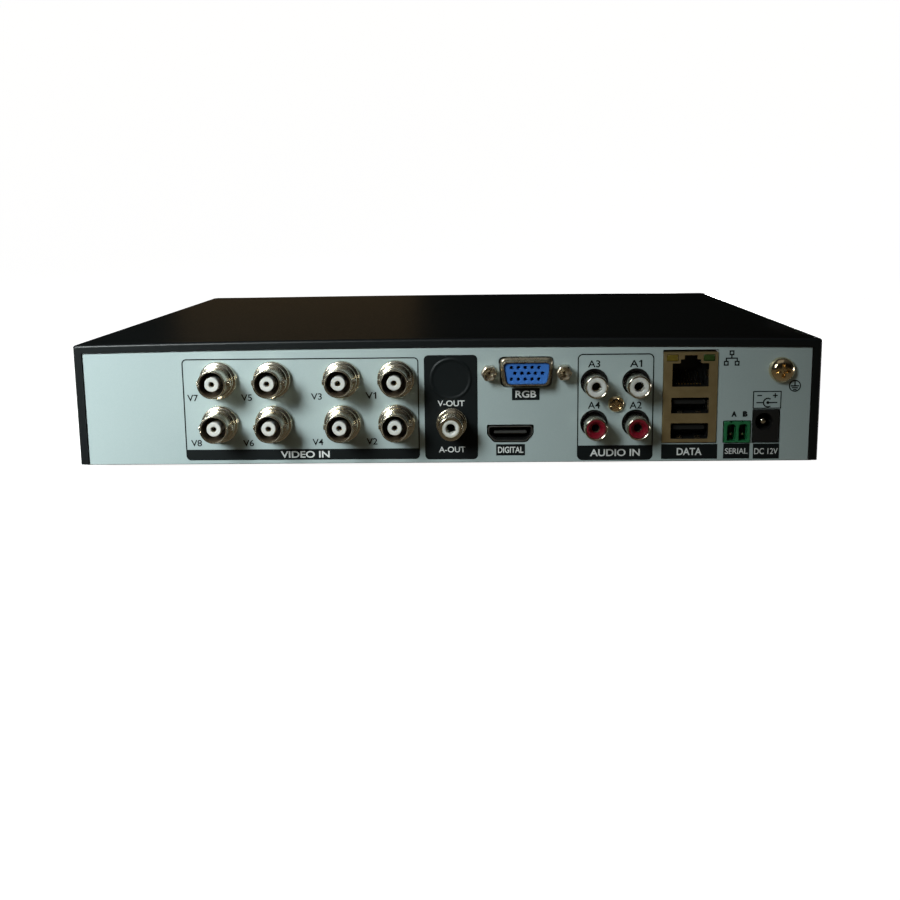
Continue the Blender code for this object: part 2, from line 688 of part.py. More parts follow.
def display_insert():
    """The plastic insert with three rows of five contact holes."""
    body = prism(d_shape(15.0, 6.6, taper=0.6), -6.0, 4.4)
    holes = []
    for row, (z, shift) in enumerate(((1.95, 0.45), (0.0, -0.7), (-1.95, 0.45))):
        for i in range(5):
            holes.append(prism(circle(0.5, 6, (i - 2) * 2.29 + shift, z), 1.4, 5.0))
    return cut(body, grouped(*holes))


def display_screw():
    """A hexagon standoff with a tapped hole in its end."""
    hexagon = []
    for i in range(12):
        radius = 2.8 if i % 2 == 0 else 2.8 * math.cos(math.radians(30))
        hexagon.append((radius * math.cos(math.radians(30 * i)), radius * math.sin(math.radians(30 * i))))
    return along_y([
        ([(0.0, 0.0)], -5.0), (circle(1.5, 12), -5.0), (circle(1.5, 12), SEAT), (hexagon, SEAT),
        (hexagon, 5.4), (circle(2.1, 12), 5.8), (circle(1.3, 12), 5.0), (circle(1.3, 12), 2.0),
        ([(0.0, 0.0)], 2.0),
    ])


def digital_socket():
    """The flat digital video socket: a folded shell with a tongue inside."""
    body = prism(hooded_shape(15.0, 5.3), -10.5, 1.2)
    body = cut(body, prism(hooded_shape(14.0, 4.3), -7.5, 2.0))
    return joined(body, box((-5.6, 5.6), (-8.0, 0.2), (0.0, 1.0)))


def lan_opening(margin=0.0):
    """The network socket's outline, with the stepped notch for the plug's latch."""
    half = [(6.1, 3.5), (6.1, 11.4), (3.4, 11.4), (3.4, 12.7), (2.1, 12.7), (2.1, 14.1)]
    wide = [(x + margin, z + (margin if z > 4 else -margin)) for x, z in half]
    return [(x, z) for x, z in wide] + [(-x, z) for x, z in reversed(wide)]


def bus_opening(z, margin=0.0):
    return rectangle(BUS_OPENING["width"] + margin, BUS_OPENING["height"] + margin, 0.0, z)


def stack_shield():
    """The folded metal shield round the network socket and the two bus sockets under it."""
    width, height = STACK["width"], STACK["height"]
    body = prism(rectangle(width, height), -17.0, SEAT + 0.1)
    inside = prism(rectangle(width - 1.0, height - 1.0), -18.0, SEAT - 0.4)
    windows = [prism(lan_opening(), SEAT - 2.0, SEAT + 1.0)]
    windows += [prism(bus_opening(z), SEAT - 2.0, SEAT + 1.0) for z in BUS_OPENING["rows"]]
    lamp_width, lamp_height = STACK_LAMP["width"], STACK_LAMP["height"]
    for x in (-STACK_LAMP["x"], STACK_LAMP["x"]):
        outline = rectangle(lamp_width, lamp_height, x, STACK_LAMP["z"])
        windows.append(prism(outline, SEAT - 2.0, SEAT + 1.0))
    return cut(body, inside, grouped(*windows))


def stack_insert():
    """The moulded core inside the shield, with the network cavity and a tongue in each bus cavity."""
    front, width, height = SEAT - 0.4 - GAP, STACK["width"] - 1.6, STACK["height"] - 1.6
    body = prism(rectangle(width, height), -16.0, front)
    cavities = [prism(lan_opening(0.1), front - 12.5, front + 1.0)]
    cavities += [prism(bus_opening(z, 0.1), front - 9.5, front + 1.0) for z in BUS_OPENING["rows"]]
    body = cut(body, grouped(*cavities))
    tongues = [box((-5.6, 5.6), (front - 10.0, front - 0.6), (z + 0.2, z + 2.0)) for z in BUS_OPENING["rows"]]
    return joined(body, grouped(*tongues))


def terminal_header():
    """The two-way terminal socket, with a square pin in each of its two chambers."""
    body = prism(rectangle(TERMINAL["width"], TERMINAL["height"]), -9.0, SEAT + 0.4)
    chambers = [prism(rectangle(3.0, 5.6, x, -0.2), -6.0, 3.0) for x in (-1.95, 1.95)]
    pins = [box((x - 0.5, x + 0.5), (-6.5, 0.0), (-1.4, -0.4)) for x in (-1.95, 1.95)]
    return joined(cut(body, grouped(*chambers)), grouped(*pins))


def power_jack():
    """The barrel power socket: a block with a round bore and a centre pin."""
    body = prism(rectangle(POWER["width"], POWER["height"]), -13.0, SEAT)
    radius = POWER_BORE["radius"]
    bore = turned([(0, -9.0), (radius, -9.0), (radius, 3.0), (0, 3.0)], 20)
    pin = turned([(0, -10.0), (1.0, -10.0), (1.0, -1.1), (0.6, -0.5), (0, -0.5)], 10)
    bore, pin = (moved(solid, POWER_BORE["x"], 0.0, POWER_BORE["z"]) for solid in (bore, pin))
    return joined(cut(body, bore), pin)


def pan_screw(head_radius, head_height, shank_radius, shank_length, seat):
    """A pan-head screw with a cross drive, pointing in along -Y from a seat."""
    top = seat + head_height
    body = turned([
        (0, -shank_length), (shank_radius - 0.4, -shank_length), (shank_radius, 0.6 - shank_length),
        (shank_radius, seat), (head_radius, seat), (head_radius, seat + 0.3 * head_height),
        (0.86 * head_radius, seat + 0.7 * head_height), (0.5 * head_radius, top - 0.08 * head_height),
        (0, top),
    ], 14)
    return cut(body, prism(cross(0.55 * head_radius, 0.14 * head_radius), top - 0.5 * head_height, top + 1.0))


# Boards and drive inside the case


def main_board():
    """The main board with its processor, memory, coils, capacitors, headers and coin cell."""
    board = box(BOARD_X, (BOARD_FRONT, PANEL_Y - 2.4), (BOARD_TOP - BOARD_THICKNESS, BOARD_TOP))
    low = BOARD_TOP - 0.5
    memory, coil = (PANEL_Y - 44.0, PANEL_Y - 34.0), (PANEL_Y - 68.0, PANEL_Y - 59.0)
    parts = [box((a, a + 14.0), memory, (low, BOARD_TOP + 1.2)) for a in (-60.0, 24.0)]
    parts.append(box((-29.0, -5.0), (PANEL_Y - 56.0, PANEL_Y - 32.0), (low, BOARD_TOP + 2.4)))
    parts += [box((a, a + 9.0), coil, (low, BOARD_TOP + 4.0)) for a in (-96.0, -80.0)]
    for a in (-108.0, -94.0, -80.0):
        can = turned([(0, 0), (3.2, 0), (3.2, -9.0), (0, -9.0)], 12)
        parts.append(moved(spun(can, 90, "X"), a, PANEL_Y - 30.0, low + 9.0))
    parts += [
        box((a - 8.0, a + 8.0), (BOARD_FRONT + 1.5, BOARD_FRONT + 7.0), (low, BOARD_TOP + 8.0))
        for a in (DATA_HEADER_X, POWER_HEADER_X)
    ]
    cell = turned([(0, 0), (8.8, 0), (8.8, -0.6), (10.0, -0.6), (10.0, -4.0), (0, -4.0)], 20)
    parts.append(moved(spun(cell, 90, "X"), 62.0, PANEL_Y - 40.0, low + 4.0))
    return joined(board, grouped(*parts))


def heat_sink():
    """A comb of cooling fins on the processor."""
    width, base, fins, fin = 32.0, 3.0, 8, 1.4
    pitch = (width - fin) / (fins - 1)
    points = [(-width / 2, 0.0), (width / 2, 0.0)]
    for i in reversed(range(fins)):
        left = -width / 2 + i * pitch
        points += [(left + fin, base), (left + fin, 12.0), (left, 12.0), (left, base)]
    points[2:3] = []
    points[-1:] = []
    outline = [(x, z + BOARD_TOP + 2.4 + GAP) for x, z in points]
    return moved(prism(outline, -15.0, 15.0), -17.0, PANEL_Y - 44.0, 0.0)


def hard_disk():
    """A sealed drive: a cast body with a raised lid and a slot of contacts at its right-hand end."""
    low = BASE_Z + SHEET + 1.4
    high = low + DISK_THICKNESS
    middle = (sum(DISK_X) / 2, sum(DISK_Y) / 2)
    wide, deep = DISK_X[1] - DISK_X[0], DISK_Y[1] - DISK_Y[0]

    def level(inset, z):
        outline = rounded_rectangle(wide - inset, deep - inset, 3.0, *middle)
        return [(a, b, z) for a, b in outline]

    body = lofted([level(0, low), level(0, high - 3.0), level(6.0, high - 3.0), level(7.0, high)])
    right, front = DISK_X[1], DISK_Y[0]
    slot = box((right - 4.0, right + 1.0), (front + 6.0, front + 52.0), (low + 3.0, low + 8.5))
    blade = box((right - 5.0, right - 1.4), (front + 8.0, front + 50.0), (low + 5.2, low + 6.4))
    return joined(cut(body, slot), blade)


def ribbon(width, thickness, route):
    """A flat cable standing on edge along a route of points."""
    rings = []
    for i, (x, y, z) in enumerate(route):
        back, ahead = route[max(i - 1, 0)], route[min(i + 1, len(route) - 1)]
        dx, dy = ahead[0] - back[0], ahead[1] - back[1]
        length = math.hypot(dx, dy)
        side = (-dy / length, dx / length)
        across, up = thickness / 2, width / 2
        rings.append([
            (x + side[0] * a, y + side[1] * a, z + b)
            for a, b in ((-across, -up), (across, -up), (across, up), (-across, up))
        ])
    return lofted(rings)


def bend(start, corner, end, steps=8):
    """Points on a smooth curve from start to end, drawn towards a corner."""
    points = []
    for i in range(steps + 1):
        t = i / steps
        points.append(tuple(
            (1 - t) ** 2 * a + 2 * t * (1 - t) * b + t * t * c for a, b, c in zip(start, corner, end)
        ))
    return points


def drive_cable(y, header_x, width, boot):
    """A drive's cable on edge, from a boot at the drive's slot to a boot over a header on the main board."""
    z = ON_BOARD + 6.0
    header_y = BOARD_FRONT + 1.5
    plug = box((DISK_X[1] + GAP, DISK_X[1] + 10.0), (y - boot, y + boot), (z - 6.0, z + 5.0))
    socket = box((header_x - 6.0, header_x + 6.0), (header_y - 10.0, header_y - GAP), (z - 6.0, z + 5.0))
    route = bend((DISK_X[1] + 3.0, y, z), (header_x, y, z), (header_x, header_y - 5.0, z))
    return joined(ribbon(width, 1.4, route), plug, socket)


def key_cable():
    """The flat cable from the key board, over the front wall and past the drive, down to the main board."""
    start = FACE_Y + KEY_BOARD_Y + BOARD_THICKNESS + GAP
    high, low = FRONT_WALL_TOP + 4.0, ON_BOARD + 4.0
    over_wall = (KEY_CABLE_X, COVER_FRONT + 8.0, high)
    corner = (KEY_CABLE_X, BOARD_FRONT - 24.0, low)
    end = (BOARD_X[1] + 1.0, BOARD_FRONT + 12.0, low)
    route = [(KEY_CABLE_X, start + 1.0, high)]
    route += bend(over_wall, (KEY_CABLE_X, -30.0, high), corner)
    route += bend(corner, (KEY_CABLE_X, end[1], low), end)[1:]
    plug = box((KEY_CABLE_X - 6.0, KEY_CABLE_X + 6.0), (start, start + 4.0), (high - 4.0, high + 3.0))
    header = box((end[0] - 10.0, end[0] + 2.0), (end[1] - 3.0, end[1] + 3.0), (ON_BOARD, ON_BOARD + 7.0))
    return joined(ribbon(5.0, 0.6, route), plug, header)


# The whole recorder


def build_case():
    add("base_chassis", base_chassis(), "zinc_sheet")
    add("top_cover", top_cover(), "black_paint")
    add("rear_label", rear_label(), "panel_print")
    add("front_bezel", front_bezel(), "black_plastic")
    add("display_lens", display_lens(), "smoked_window")
    foot_mesh = mesh_from(foot(), "foot", "rubber")
    for side, x in (("left", -105.0), ("right", 105.0)):
        for end, y in (("front", -88.0), ("rear", 92.0)):
            place(f"foot_{end}_{side}", foot_mesh, (x, y, 0.0))
    screw_mesh = mesh_from(pan_screw(3.0, 1.4, 1.45, 5.0, GAP), "cover_screw", "black_paint")
    for side, name, turn in ((-1, "left", 90), (1, "right", -90)):
        for y, end in zip(COVER_SCREW_Y, ("front", "rear")):
            at = (side * CASE_WIDTH / 2, y, COVER_SCREW_Z)
            place(f"cover_screw_{end}_{name}", screw_mesh, at, turn)


def build_front():
    key_mesh = mesh_from(side_key(), "side_key", "black_plastic")
    for name, (x, z) in SIDE_KEYS.items():
        place(name, key_mesh, (x, FACE_Y, z))
    for name, turn in (("up_key", 0), ("left_key", -90), ("down_key", 180), ("right_key", 90)):
        add(name, spun(arrow_key(), turn, "Y"), "black_plastic", (PAD_X, FACE_Y, PAD_Z))
    add("ok_key", centre_key(), "black_plastic", (PAD_X, FACE_Y, PAD_Z))
    add("key_board", key_board(), "circuit_board")
    back = FACE_Y + KEY_BOARD_Y - GAP
    lamp_mesh = mesh_from(lamp(), "lamp", "lamp")
    for name, x in INDICATORS.items():
        place(name, lamp_mesh, (x, back, FACE_MIDDLE))
    add("ir_receiver", infrared_receiver(), "smoked_window", (IR_X, back, FACE_MIDDLE))


def build_sockets():
    jack_mesh = mesh_from(coaxial_jack(), "video_jack", "nickel")
    housing_mesh = mesh_from(coaxial_housing(), "video_jack_housing", "black_plastic")
    number = {(column, row): 7 - 2 * column + row for column in range(4) for row in range(2)}
    for column, x in enumerate(JACK_COLUMNS):
        place(f"video_jack_housing_{column + 1}", housing_mesh, (behind(x, 0)[0], 0.0, 0.0))
        for row, z in enumerate(JACK_ROWS):
            at = behind(x, z)
            place(f"video_jack_{number[column, row]}", jack_mesh, (at[0], PANEL_Y, at[1]))
    x, z = behind(*PHONO_OUT)
    collar = [(5.3, SEAT), (5.3, 2.1), (4.7, 2.7)]
    add("audio_out_jack", phono_jack(PHONO_OUT_REACH, collar), "nickel", (x, PANEL_Y, z))
    add("audio_in_block", phono_block(), "black_plastic")
    phono_mesh = mesh_from(phono_jack(PHONO_REACH), "audio_in_jack", "nickel")
    for column, x in enumerate(PHONO_COLUMNS):
        for row, z in enumerate(PHONO_ROWS):
            at = behind(x, z)
            place(f"audio_in_jack_{3 - 2 * column + row}", phono_mesh, (at[0], PANEL_Y, at[1]))
    x, z = behind(*PHONO_SCREW)
    add("audio_block_screw", pan_screw(2.8, 1.9, 1.5, 8.0, SEAT), "gold_nickel", (x, PANEL_Y, z))
    x, z = behind(*DISPLAY_PORT)
    add("display_port_shell", display_shell(), "nickel", (x, PANEL_Y, z))
    add("display_port_insert", display_insert(), "blue_plastic", (x, PANEL_Y, z))
    screw_mesh = mesh_from(display_screw(), "display_port_screw", "nickel")
    for name, side in (("left", -1), ("right", 1)):
        place(f"display_port_screw_{name}", screw_mesh, (x + side * DISPLAY_SCREW_SPACING / 2, PANEL_Y, z))
    x, z = behind(*DIGITAL_PORT)
    add("digital_video_socket", digital_socket(), "nickel", (x, PANEL_Y, z))
    x, z = behind(STACK["x"], STACK["z"])
    add("lan_bus_shield", stack_shield(), "tin_shield", (x, PANEL_Y, z))
    add("lan_bus_insert", stack_insert(), "black_plastic", (x, PANEL_Y, z))
    x, z = behind(TERMINAL["x"], TERMINAL["z"])
    add("serial_terminal", terminal_header(), "green_plastic", (x, PANEL_Y, z))
    x, z = behind(POWER["x"], POWER["z"])
    add("power_jack", power_jack(), "black_plastic", (x, PANEL_Y, z))
    x, z = behind(*GROUND)
    add("ground_screw", pan_screw(4.3, 3.4, 1.9, 7.0, SEAT), "gold_nickel", (x, PANEL_Y, z))


def build_inside():
    add("main_board", main_board(), "circuit_board")
    add("heat_sink", heat_sink(), "aluminium")
    add("hard_disk", hard_disk(), "aluminium")
    add("drive_data_cable", drive_cable(DISK_Y[0] + 46.0, DATA_HEADER_X, 6.0, 4.5), "red_cable")
    add("drive_power_cable", drive_cable(DISK_Y[0] + 20.0, POWER_HEADER_X, 8.0, 11.0), "grey_cable")
    add("key_cable", key_cable(), "grey_cable")


def main():
    for obj in list(bpy.data.objects):
        bpy.data.objects.remove(obj)
    build_case()
    build_front()
    build_sockets()
    build_inside()


main()
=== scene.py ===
"""The recorder's looks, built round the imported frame: detailed pieces, materials, printing, light and camera.

Shapes are drawn in millimetres and turned into metres as each piece is made. As the front is seen, +X is to
the right, -Y is out of the front, +Y out of the rear panel and +Z up. Places come from the frame's nodes.
"""

import json
import math

import bmesh
import bpy
from mathutils import Matrix, Vector


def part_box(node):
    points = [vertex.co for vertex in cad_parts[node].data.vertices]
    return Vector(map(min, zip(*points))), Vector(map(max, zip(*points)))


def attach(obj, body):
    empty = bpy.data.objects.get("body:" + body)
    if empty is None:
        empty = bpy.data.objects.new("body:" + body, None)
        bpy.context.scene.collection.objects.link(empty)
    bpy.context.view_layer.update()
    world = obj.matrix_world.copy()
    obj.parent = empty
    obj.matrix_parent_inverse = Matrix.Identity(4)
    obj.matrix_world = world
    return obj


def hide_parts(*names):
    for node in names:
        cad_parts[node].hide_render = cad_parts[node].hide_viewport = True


MM = 0.001
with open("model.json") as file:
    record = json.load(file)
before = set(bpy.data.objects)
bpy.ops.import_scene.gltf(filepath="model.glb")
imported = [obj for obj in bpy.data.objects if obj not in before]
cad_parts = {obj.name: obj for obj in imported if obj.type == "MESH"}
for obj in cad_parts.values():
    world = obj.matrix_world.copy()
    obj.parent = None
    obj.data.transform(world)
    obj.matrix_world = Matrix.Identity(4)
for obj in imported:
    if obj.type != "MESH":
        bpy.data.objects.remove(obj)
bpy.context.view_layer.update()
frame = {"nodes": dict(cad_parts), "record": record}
BODY = "recorder"


# Places read from the frame, in millimetres


def corners(node):
    low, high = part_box(node)
    return low / MM, high / MM


def centre(node):
    low, high = corners(node)
    return (low + high) / 2


def face_size(node):
    """A node's width along X and height along Z."""
    low, high = corners(node)
    return high.x - low.x, high.z - low.z


FILM_Y = corners("rear_label")[1].y
FACE_Y = corners("front_bezel")[0].y
BASE_Z = corners("base_chassis")[0].z
COVER_LOW, COVER_HIGH = corners("top_cover")
BEZEL_LOW, BEZEL_HIGH = corners("front_bezel")
WINDOW_LOW, WINDOW_HIGH = corners("display_lens")
SHEET = 0.8
LIP_WIDTH = 2.9
COVER_BEND = 1.1
INK = 0.05


def on_film(node):
    """The place on the rear film's outer face in line with a node's middle."""
    at = centre(node)
    return at.x, FILM_Y, at.z


def rear(x, z):
    """A place on the rear panel, x to the right as seen from behind and z up from the case's bottom."""
    return -x, BASE_Z + z


def front(x, z):
    """A place on the front, x to the right and z up from the window's middle."""
    return x, z + (WINDOW_LOW.z + WINDOW_HIGH.z) / 2


# Outlines: closed lists of (x, z) points


def arc(radius, start, end, steps, x=0.0, z=0.0):
    angles = [math.radians(start + (end - start) * i / steps) for i in range(steps + 1)]
    return [(x + radius * math.cos(a), z + radius * math.sin(a)) for a in angles]


def circle(radius, x=0.0, z=0.0, steps=48):
    return arc(radius, 0, 360, steps, x, z)[:-1]


def rectangle(width, height, x=0.0, z=0.0):
    w, h = width / 2, height / 2
    return [(x - w, z - h), (x + w, z - h), (x + w, z + h), (x - w, z + h)]


def rounded(width, height, radius, x=0.0, z=0.0, steps=6):
    w, h = width / 2 - radius, height / 2 - radius
    corner_list = ((w, h, 0), (-w, h, 90), (-w, -h, 180), (w, -h, 270))
    return [
        point
        for cx, cz, start in corner_list
        for point in arc(radius, start, start + 90, steps, x + cx, z + cz)
    ]


def racetrack(width, height, x=0.0, z=0.0, steps=16):
    radius, reach = height / 2, (width - height) / 2
    return arc(radius, -90, 90, steps, x + reach, z) + arc(radius, 90, 270, steps, x - reach, z)


def softened(points, radius, steps=5):
    """The same outline with each corner rounded by a curve that starts radius away from it."""
    out = []
    for i, point in enumerate(points):
        here = Vector(point)
        before, after = Vector(points[i - 1]), Vector(points[(i + 1) % len(points)])
        back = min(radius, (before - here).length * 0.45)
        ahead = min(radius, (after - here).length * 0.45)
        start = here + (before - here).normalized() * back
        end = here + (after - here).normalized() * ahead
        for k in range(steps + 1):
            t = k / steps
            out.append(tuple((1 - t) ** 2 * start + 2 * t * (1 - t) * here + t * t * end))
    return out


def d_shape(width, height, x=0.0, z=0.0, taper=0.9, corner=2.0):
    """A D-shaped socket's outline: a long top, a shorter foot, and rounded corners."""
    w, h = width / 2, height / 2
    points = [(w - taper, -h), (w, h), (-w, h), (taper - w, -h)]
    return [(x + a, z + b) for a, b in softened(points, corner)]


def hooded(width, height, x=0.0, z=0.0):
    """A flat digital socket's outline: a wide top, and a foot with sloping corners."""
    w, h = width / 2, height / 2
    points = [(w * 0.7, -h), (w, -h * 0.1), (w, h), (-w, h), (-w, -h * 0.1), (-w * 0.7, -h)]
    return [(x + a, z + b) for a, b in softened(points, 0.7, 3)]


def cross(reach, arm):
    """A cross drive's outline, whose arms reach out from the middle and are twice arm wide."""
    quarter = [(reach, -arm), (reach, arm), (arm, arm)]
    points = []
    for turn in range(4):
        c, s = round(math.cos(turn * math.pi / 2)), round(math.sin(turn * math.pi / 2))
        points += [(c * x - s * z, s * x + c * z) for x, z in quarter]
    return points


def sector(inner, outer, margin):
    """A quarter of a ring pointing up, kept back by margin from the two diagonals beside it."""
    points = []
    for radius, way in ((outer, 1), (inner, -1)):
        half = 45 - math.degrees(math.asin(margin / radius))
        points += arc(radius, 90 - way * half, 90 + way * half, 24)
    return points


# Solids: bmeshes in millimetres


def prism(outline, start, end, holes=()):
    bm = bmesh.new()
    edges = []
    for loop in (outline, *holes):
        verts = [bm.verts.new((x, start, z)) for x, z in loop]
        edges += [bm.edges.new((verts[i - 1], verts[i])) for i in range(len(verts))]
    bmesh.ops.triangle_fill(bm, use_beauty=True, edges=edges)
    made = bmesh.ops.extrude_face_region(bm, geom=bm.faces[:])
    verts = [v for v in made["geom"] if isinstance(v, bmesh.types.BMVert)]
    bmesh.ops.translate(bm, vec=(0, end - start, 0), verts=verts)
    bmesh.ops.recalc_face_normals(bm, faces=bm.faces)
    return bm


def lofted(rings):
    """A closed solid through rings of equally many points. A ring of one point is a tip."""
    bm = bmesh.new()
    made = [[bm.verts.new(point) for point in ring] for ring in rings]
    for near, far in zip(made, made[1:]):
        count = max(len(near), len(far))
        for i in range(count):
            j = (i + 1) % count
            face = [near[i % len(near)], near[j % len(near)], far[j % len(far)], far[i % len(far)]]
            bm.faces.new(list(dict.fromkeys(face)))
    for ring in (made[0], made[-1]):
        if len(ring) > 2:
            bm.faces.new(ring)
    bmesh.ops.recalc_face_normals(bm, faces=bm.faces)
    return bm


def along_y(outlines):
    """A closed solid through (outline, depth) pairs, from front to rear or the other way."""
    return lofted([[(x, depth, z) for x, z in outline] for outline, depth in outlines])


def bevelled(outline, start, end, small, tip):
    """A straight piece from start to end, whose end narrows to a smaller outline at its tip."""
    return along_y([(outline, start), (outline, end), (small, tip)])


def box(x, y, z):
    outline = [(x[0], z[0]), (x[1], z[0]), (x[1], z[1]), (x[0], z[1])]
    return along_y([(outline, depth) for depth in y])


def turned(profile, steps=64):
    """A solid turned about Y from (radius, depth) points, from one end of the axis to the other."""
    return along_y([(circle(r, steps=steps) if r else [(0.0, 0.0)], depth) for r, depth in profile])


def fillet(radius_from, radius_to, y_from, y_to, steps=5):
    """Profile points on a quarter ellipse between two (radius, depth) points."""
    points = []
    for i in range(steps + 1):
        a = math.pi / 2 * i / steps
        radius = radius_to + (radius_from - radius_to) * math.cos(a)
        points.append((radius, y_from + (y_to - y_from) * math.sin(a)))
    return points


def shifted(bm, x=0.0, y=0.0, z=0.0):
    bmesh.ops.translate(bm, vec=(x, y, z), verts=bm.verts)
    return bm


def spun(bm, degrees, axis="Y"):
    bmesh.ops.transform(bm, matrix=Matrix.Rotation(math.radians(degrees), 4, axis), verts=bm.verts)
    return bm


def grouped(*solids):
    group = bmesh.new()
    for solid in solids:
        held = bpy.data.meshes.new("held")
        solid.to_mesh(held)
        group.from_mesh(held)
        solid.free()
        bpy.data.meshes.remove(held)
    return group


def combined(body, tool, operation):
    held = []
    for bm in (body, tool):
        mesh = bpy.data.meshes.new("held")
        bm.to_mesh(mesh)
        bm.free()
        held.append(bpy.data.objects.new("held", mesh))
        bpy.context.scene.collection.objects.link(held[-1])
    modifier = held[0].modifiers.new("combine", "BOOLEAN")
    modifier.operation = operation
    modifier.object = held[1]
    graph = bpy.context.evaluated_depsgraph_get()
    result = bpy.data.meshes.new_from_object(held[0].evaluated_get(graph))
    bm = bmesh.new()
    bm.from_mesh(result)
    bpy.data.meshes.remove(result)
    for obj in held:
        mesh = obj.data
        bpy.data.objects.remove(obj)
        bpy.data.meshes.remove(mesh)
    return bm


def joined(body, *tools):
    for tool in tools:
        body = combined(body, tool, "UNION")
    return body


def cut(body, *tools):
    for tool in tools:
        body = combined(body, tool, "DIFFERENCE")
    return body


# Pieces


def mesh_from(bm, name, finish, sharp=32):
    for vertex in bm.verts:
        vertex.co *= MM
    mesh = bpy.data.meshes.new(name)
    bm.to_mesh(mesh)
    bm.free()
    mesh.materials.clear()
    mesh.materials.append(MATERIALS[finish])
    mesh.shade_smooth()
    mesh.set_sharp_from_angle(angle=math.radians(sharp))
    return mesh


def place(name, mesh, at=(0.0, 0.0, 0.0), turn=0.0, body=BODY, stands_for=()):
    """A piece from a mesh, at a place in millimetres, turned about Z by degrees, riding on a body."""
    obj = bpy.data.objects.new(name, mesh)
    obj.location = [value * MM for value in at]
    obj.rotation_euler[2] = math.radians(turn)
    bpy.context.scene.collection.objects.link(obj)
    weighted = obj.modifiers.new("even_normals", "WEIGHTED_NORMAL")
    weighted.keep_sharp = True
    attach(obj, body)
    if stands_for:
        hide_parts(*stands_for)
    return obj


def add(name, bm, finish, at=(0.0, 0.0, 0.0), body=BODY, stands_for=(), sharp=32):
    return place(name, mesh_from(bm, name, finish, sharp), at, 0.0, body, stands_for)


# Materials


class Nodes:
    """A material's node tree, with short ways to add the nodes used here."""

    def __init__(self, name):
        self.material = bpy.data.materials.new(name)
        self.material.use_nodes = True
        self.tree = self.material.node_tree
        self.shader = self.tree.nodes["Principled BSDF"]
        coordinates = self.tree.nodes.new("ShaderNodeTexCoord")
        self.place = coordinates.outputs["Object"]

    def link(self, start, end):
        self.tree.links.new(start, end)

    def stretched(self, scale):
        mapping = self.tree.nodes.new("ShaderNodeMapping")
        mapping.inputs["Scale"].default_value = scale
        self.link(self.place, mapping.inputs["Vector"])
        return mapping.outputs["Vector"]

    def noise(self, size, detail=3.0, rough=0.5, stretch=None):
        """Noise with features of about that size in millimetres, from 0 to 1."""
        node = self.tree.nodes.new("ShaderNodeTexNoise")
        node.inputs["Scale"].default_value = 1.0 / (size * MM)
        node.inputs["Detail"].default_value = detail
        node.inputs["Roughness"].default_value = rough
        self.link(self.stretched(stretch) if stretch else self.place, node.inputs["Vector"])
        return node.outputs["Fac"]

    def cells(self, size, feature="F1", output="Distance"):
        node = self.tree.nodes.new("ShaderNodeTexVoronoi")
        node.feature = feature
        node.inputs["Scale"].default_value = 1.0 / (size * MM)
        self.link(self.place, node.inputs["Vector"])
        return node.outputs[output]

    def ranged(self, value, low, high, start=0.3, end=0.7):
        node = self.tree.nodes.new("ShaderNodeMapRange")
        for key, number in (("From Min", start), ("From Max", end), ("To Min", low), ("To Max", high)):
            node.inputs[key].default_value = number
        self.link(value, node.inputs["Value"])
        return node.outputs["Result"]

    def mixed(self, factor, first, second):
        node = self.tree.nodes.new("ShaderNodeMix")
        node.data_type = "RGBA"
        self.link(factor, node.inputs["Factor"])
        for socket, colour in ((node.inputs[6], first), (node.inputs[7], second)):
            if isinstance(colour, tuple):
                socket.default_value = (*colour, 1.0)
            else:
                self.link(colour, socket)
        return node.outputs[2]

    def bump(self, height, depth, strength=1.0, under=None):
        node = self.tree.nodes.new("ShaderNodeBump")
        node.inputs["Strength"].default_value = strength
        node.inputs["Distance"].default_value = depth * MM
        self.link(height, node.inputs["Height"])
        if under:
            self.link(under, node.inputs["Normal"])
        return node.outputs["Normal"]

    def set(self, **sockets):
        """Values or links for the shader's sockets, named with _ for a space."""
        for name, value in sockets.items():
            socket = self.shader.inputs[name.replace("_", " ")]
            if isinstance(value, bpy.types.NodeSocket):
                self.link(value, socket)
            elif isinstance(value, tuple):
                socket.default_value = (*value, 1.0)
            else:
                socket.default_value = value
        return self.material


def tinted(colour, factor):
    return tuple(min(1.0, c * factor) for c in colour)


def powder_coat():
    """Black powder coat: orange-peel skin, faint warm patches, and a fine sparkle-free grain."""
    n = Nodes("powder_coat")
    patches = n.noise(38.0, 2.0)
    skin = n.noise(0.55, 2.0, 0.4)
    grit = n.noise(0.16, 1.0)
    colour = n.mixed(n.ranged(patches, 0.0, 1.0), (0.0044, 0.0060, 0.0066), (0.0054, 0.0072, 0.0078))
    normal = n.bump(grit, 0.004, 0.5, n.bump(skin, 0.012, 0.6))
    rough = n.ranged(skin, 0.30, 0.40)
    return n.set(Base_Color=colour, Roughness=rough, Normal=normal, Specular_IOR_Level=0.3)


def zinc():
    """Zinc-plated sheet: rolled streaks along the sheet and faint crystal patches."""
    n = Nodes("zinc")
    crystals = n.cells(4.0, output="Color")
    streaks = n.noise(0.35, 3.0, 0.6, (1.0, 0.04, 1.0))
    value = n.ranged(streaks, 0.0, 1.0)
    colour = n.mixed(value, (0.44, 0.45, 0.46), (0.62, 0.63, 0.63))
    tint = n.mixed(n.ranged(n.noise(6.0), 0.0, 0.5), colour, crystals)
    colour = n.mixed(n.ranged(n.noise(60.0), 0.0, 0.08), colour, tint)
    rough = n.ranged(streaks, 0.3, 0.46)
    return n.set(Base_Color=colour, Roughness=rough, Metallic=0.95, Normal=n.bump(streaks, 0.003, 0.5))


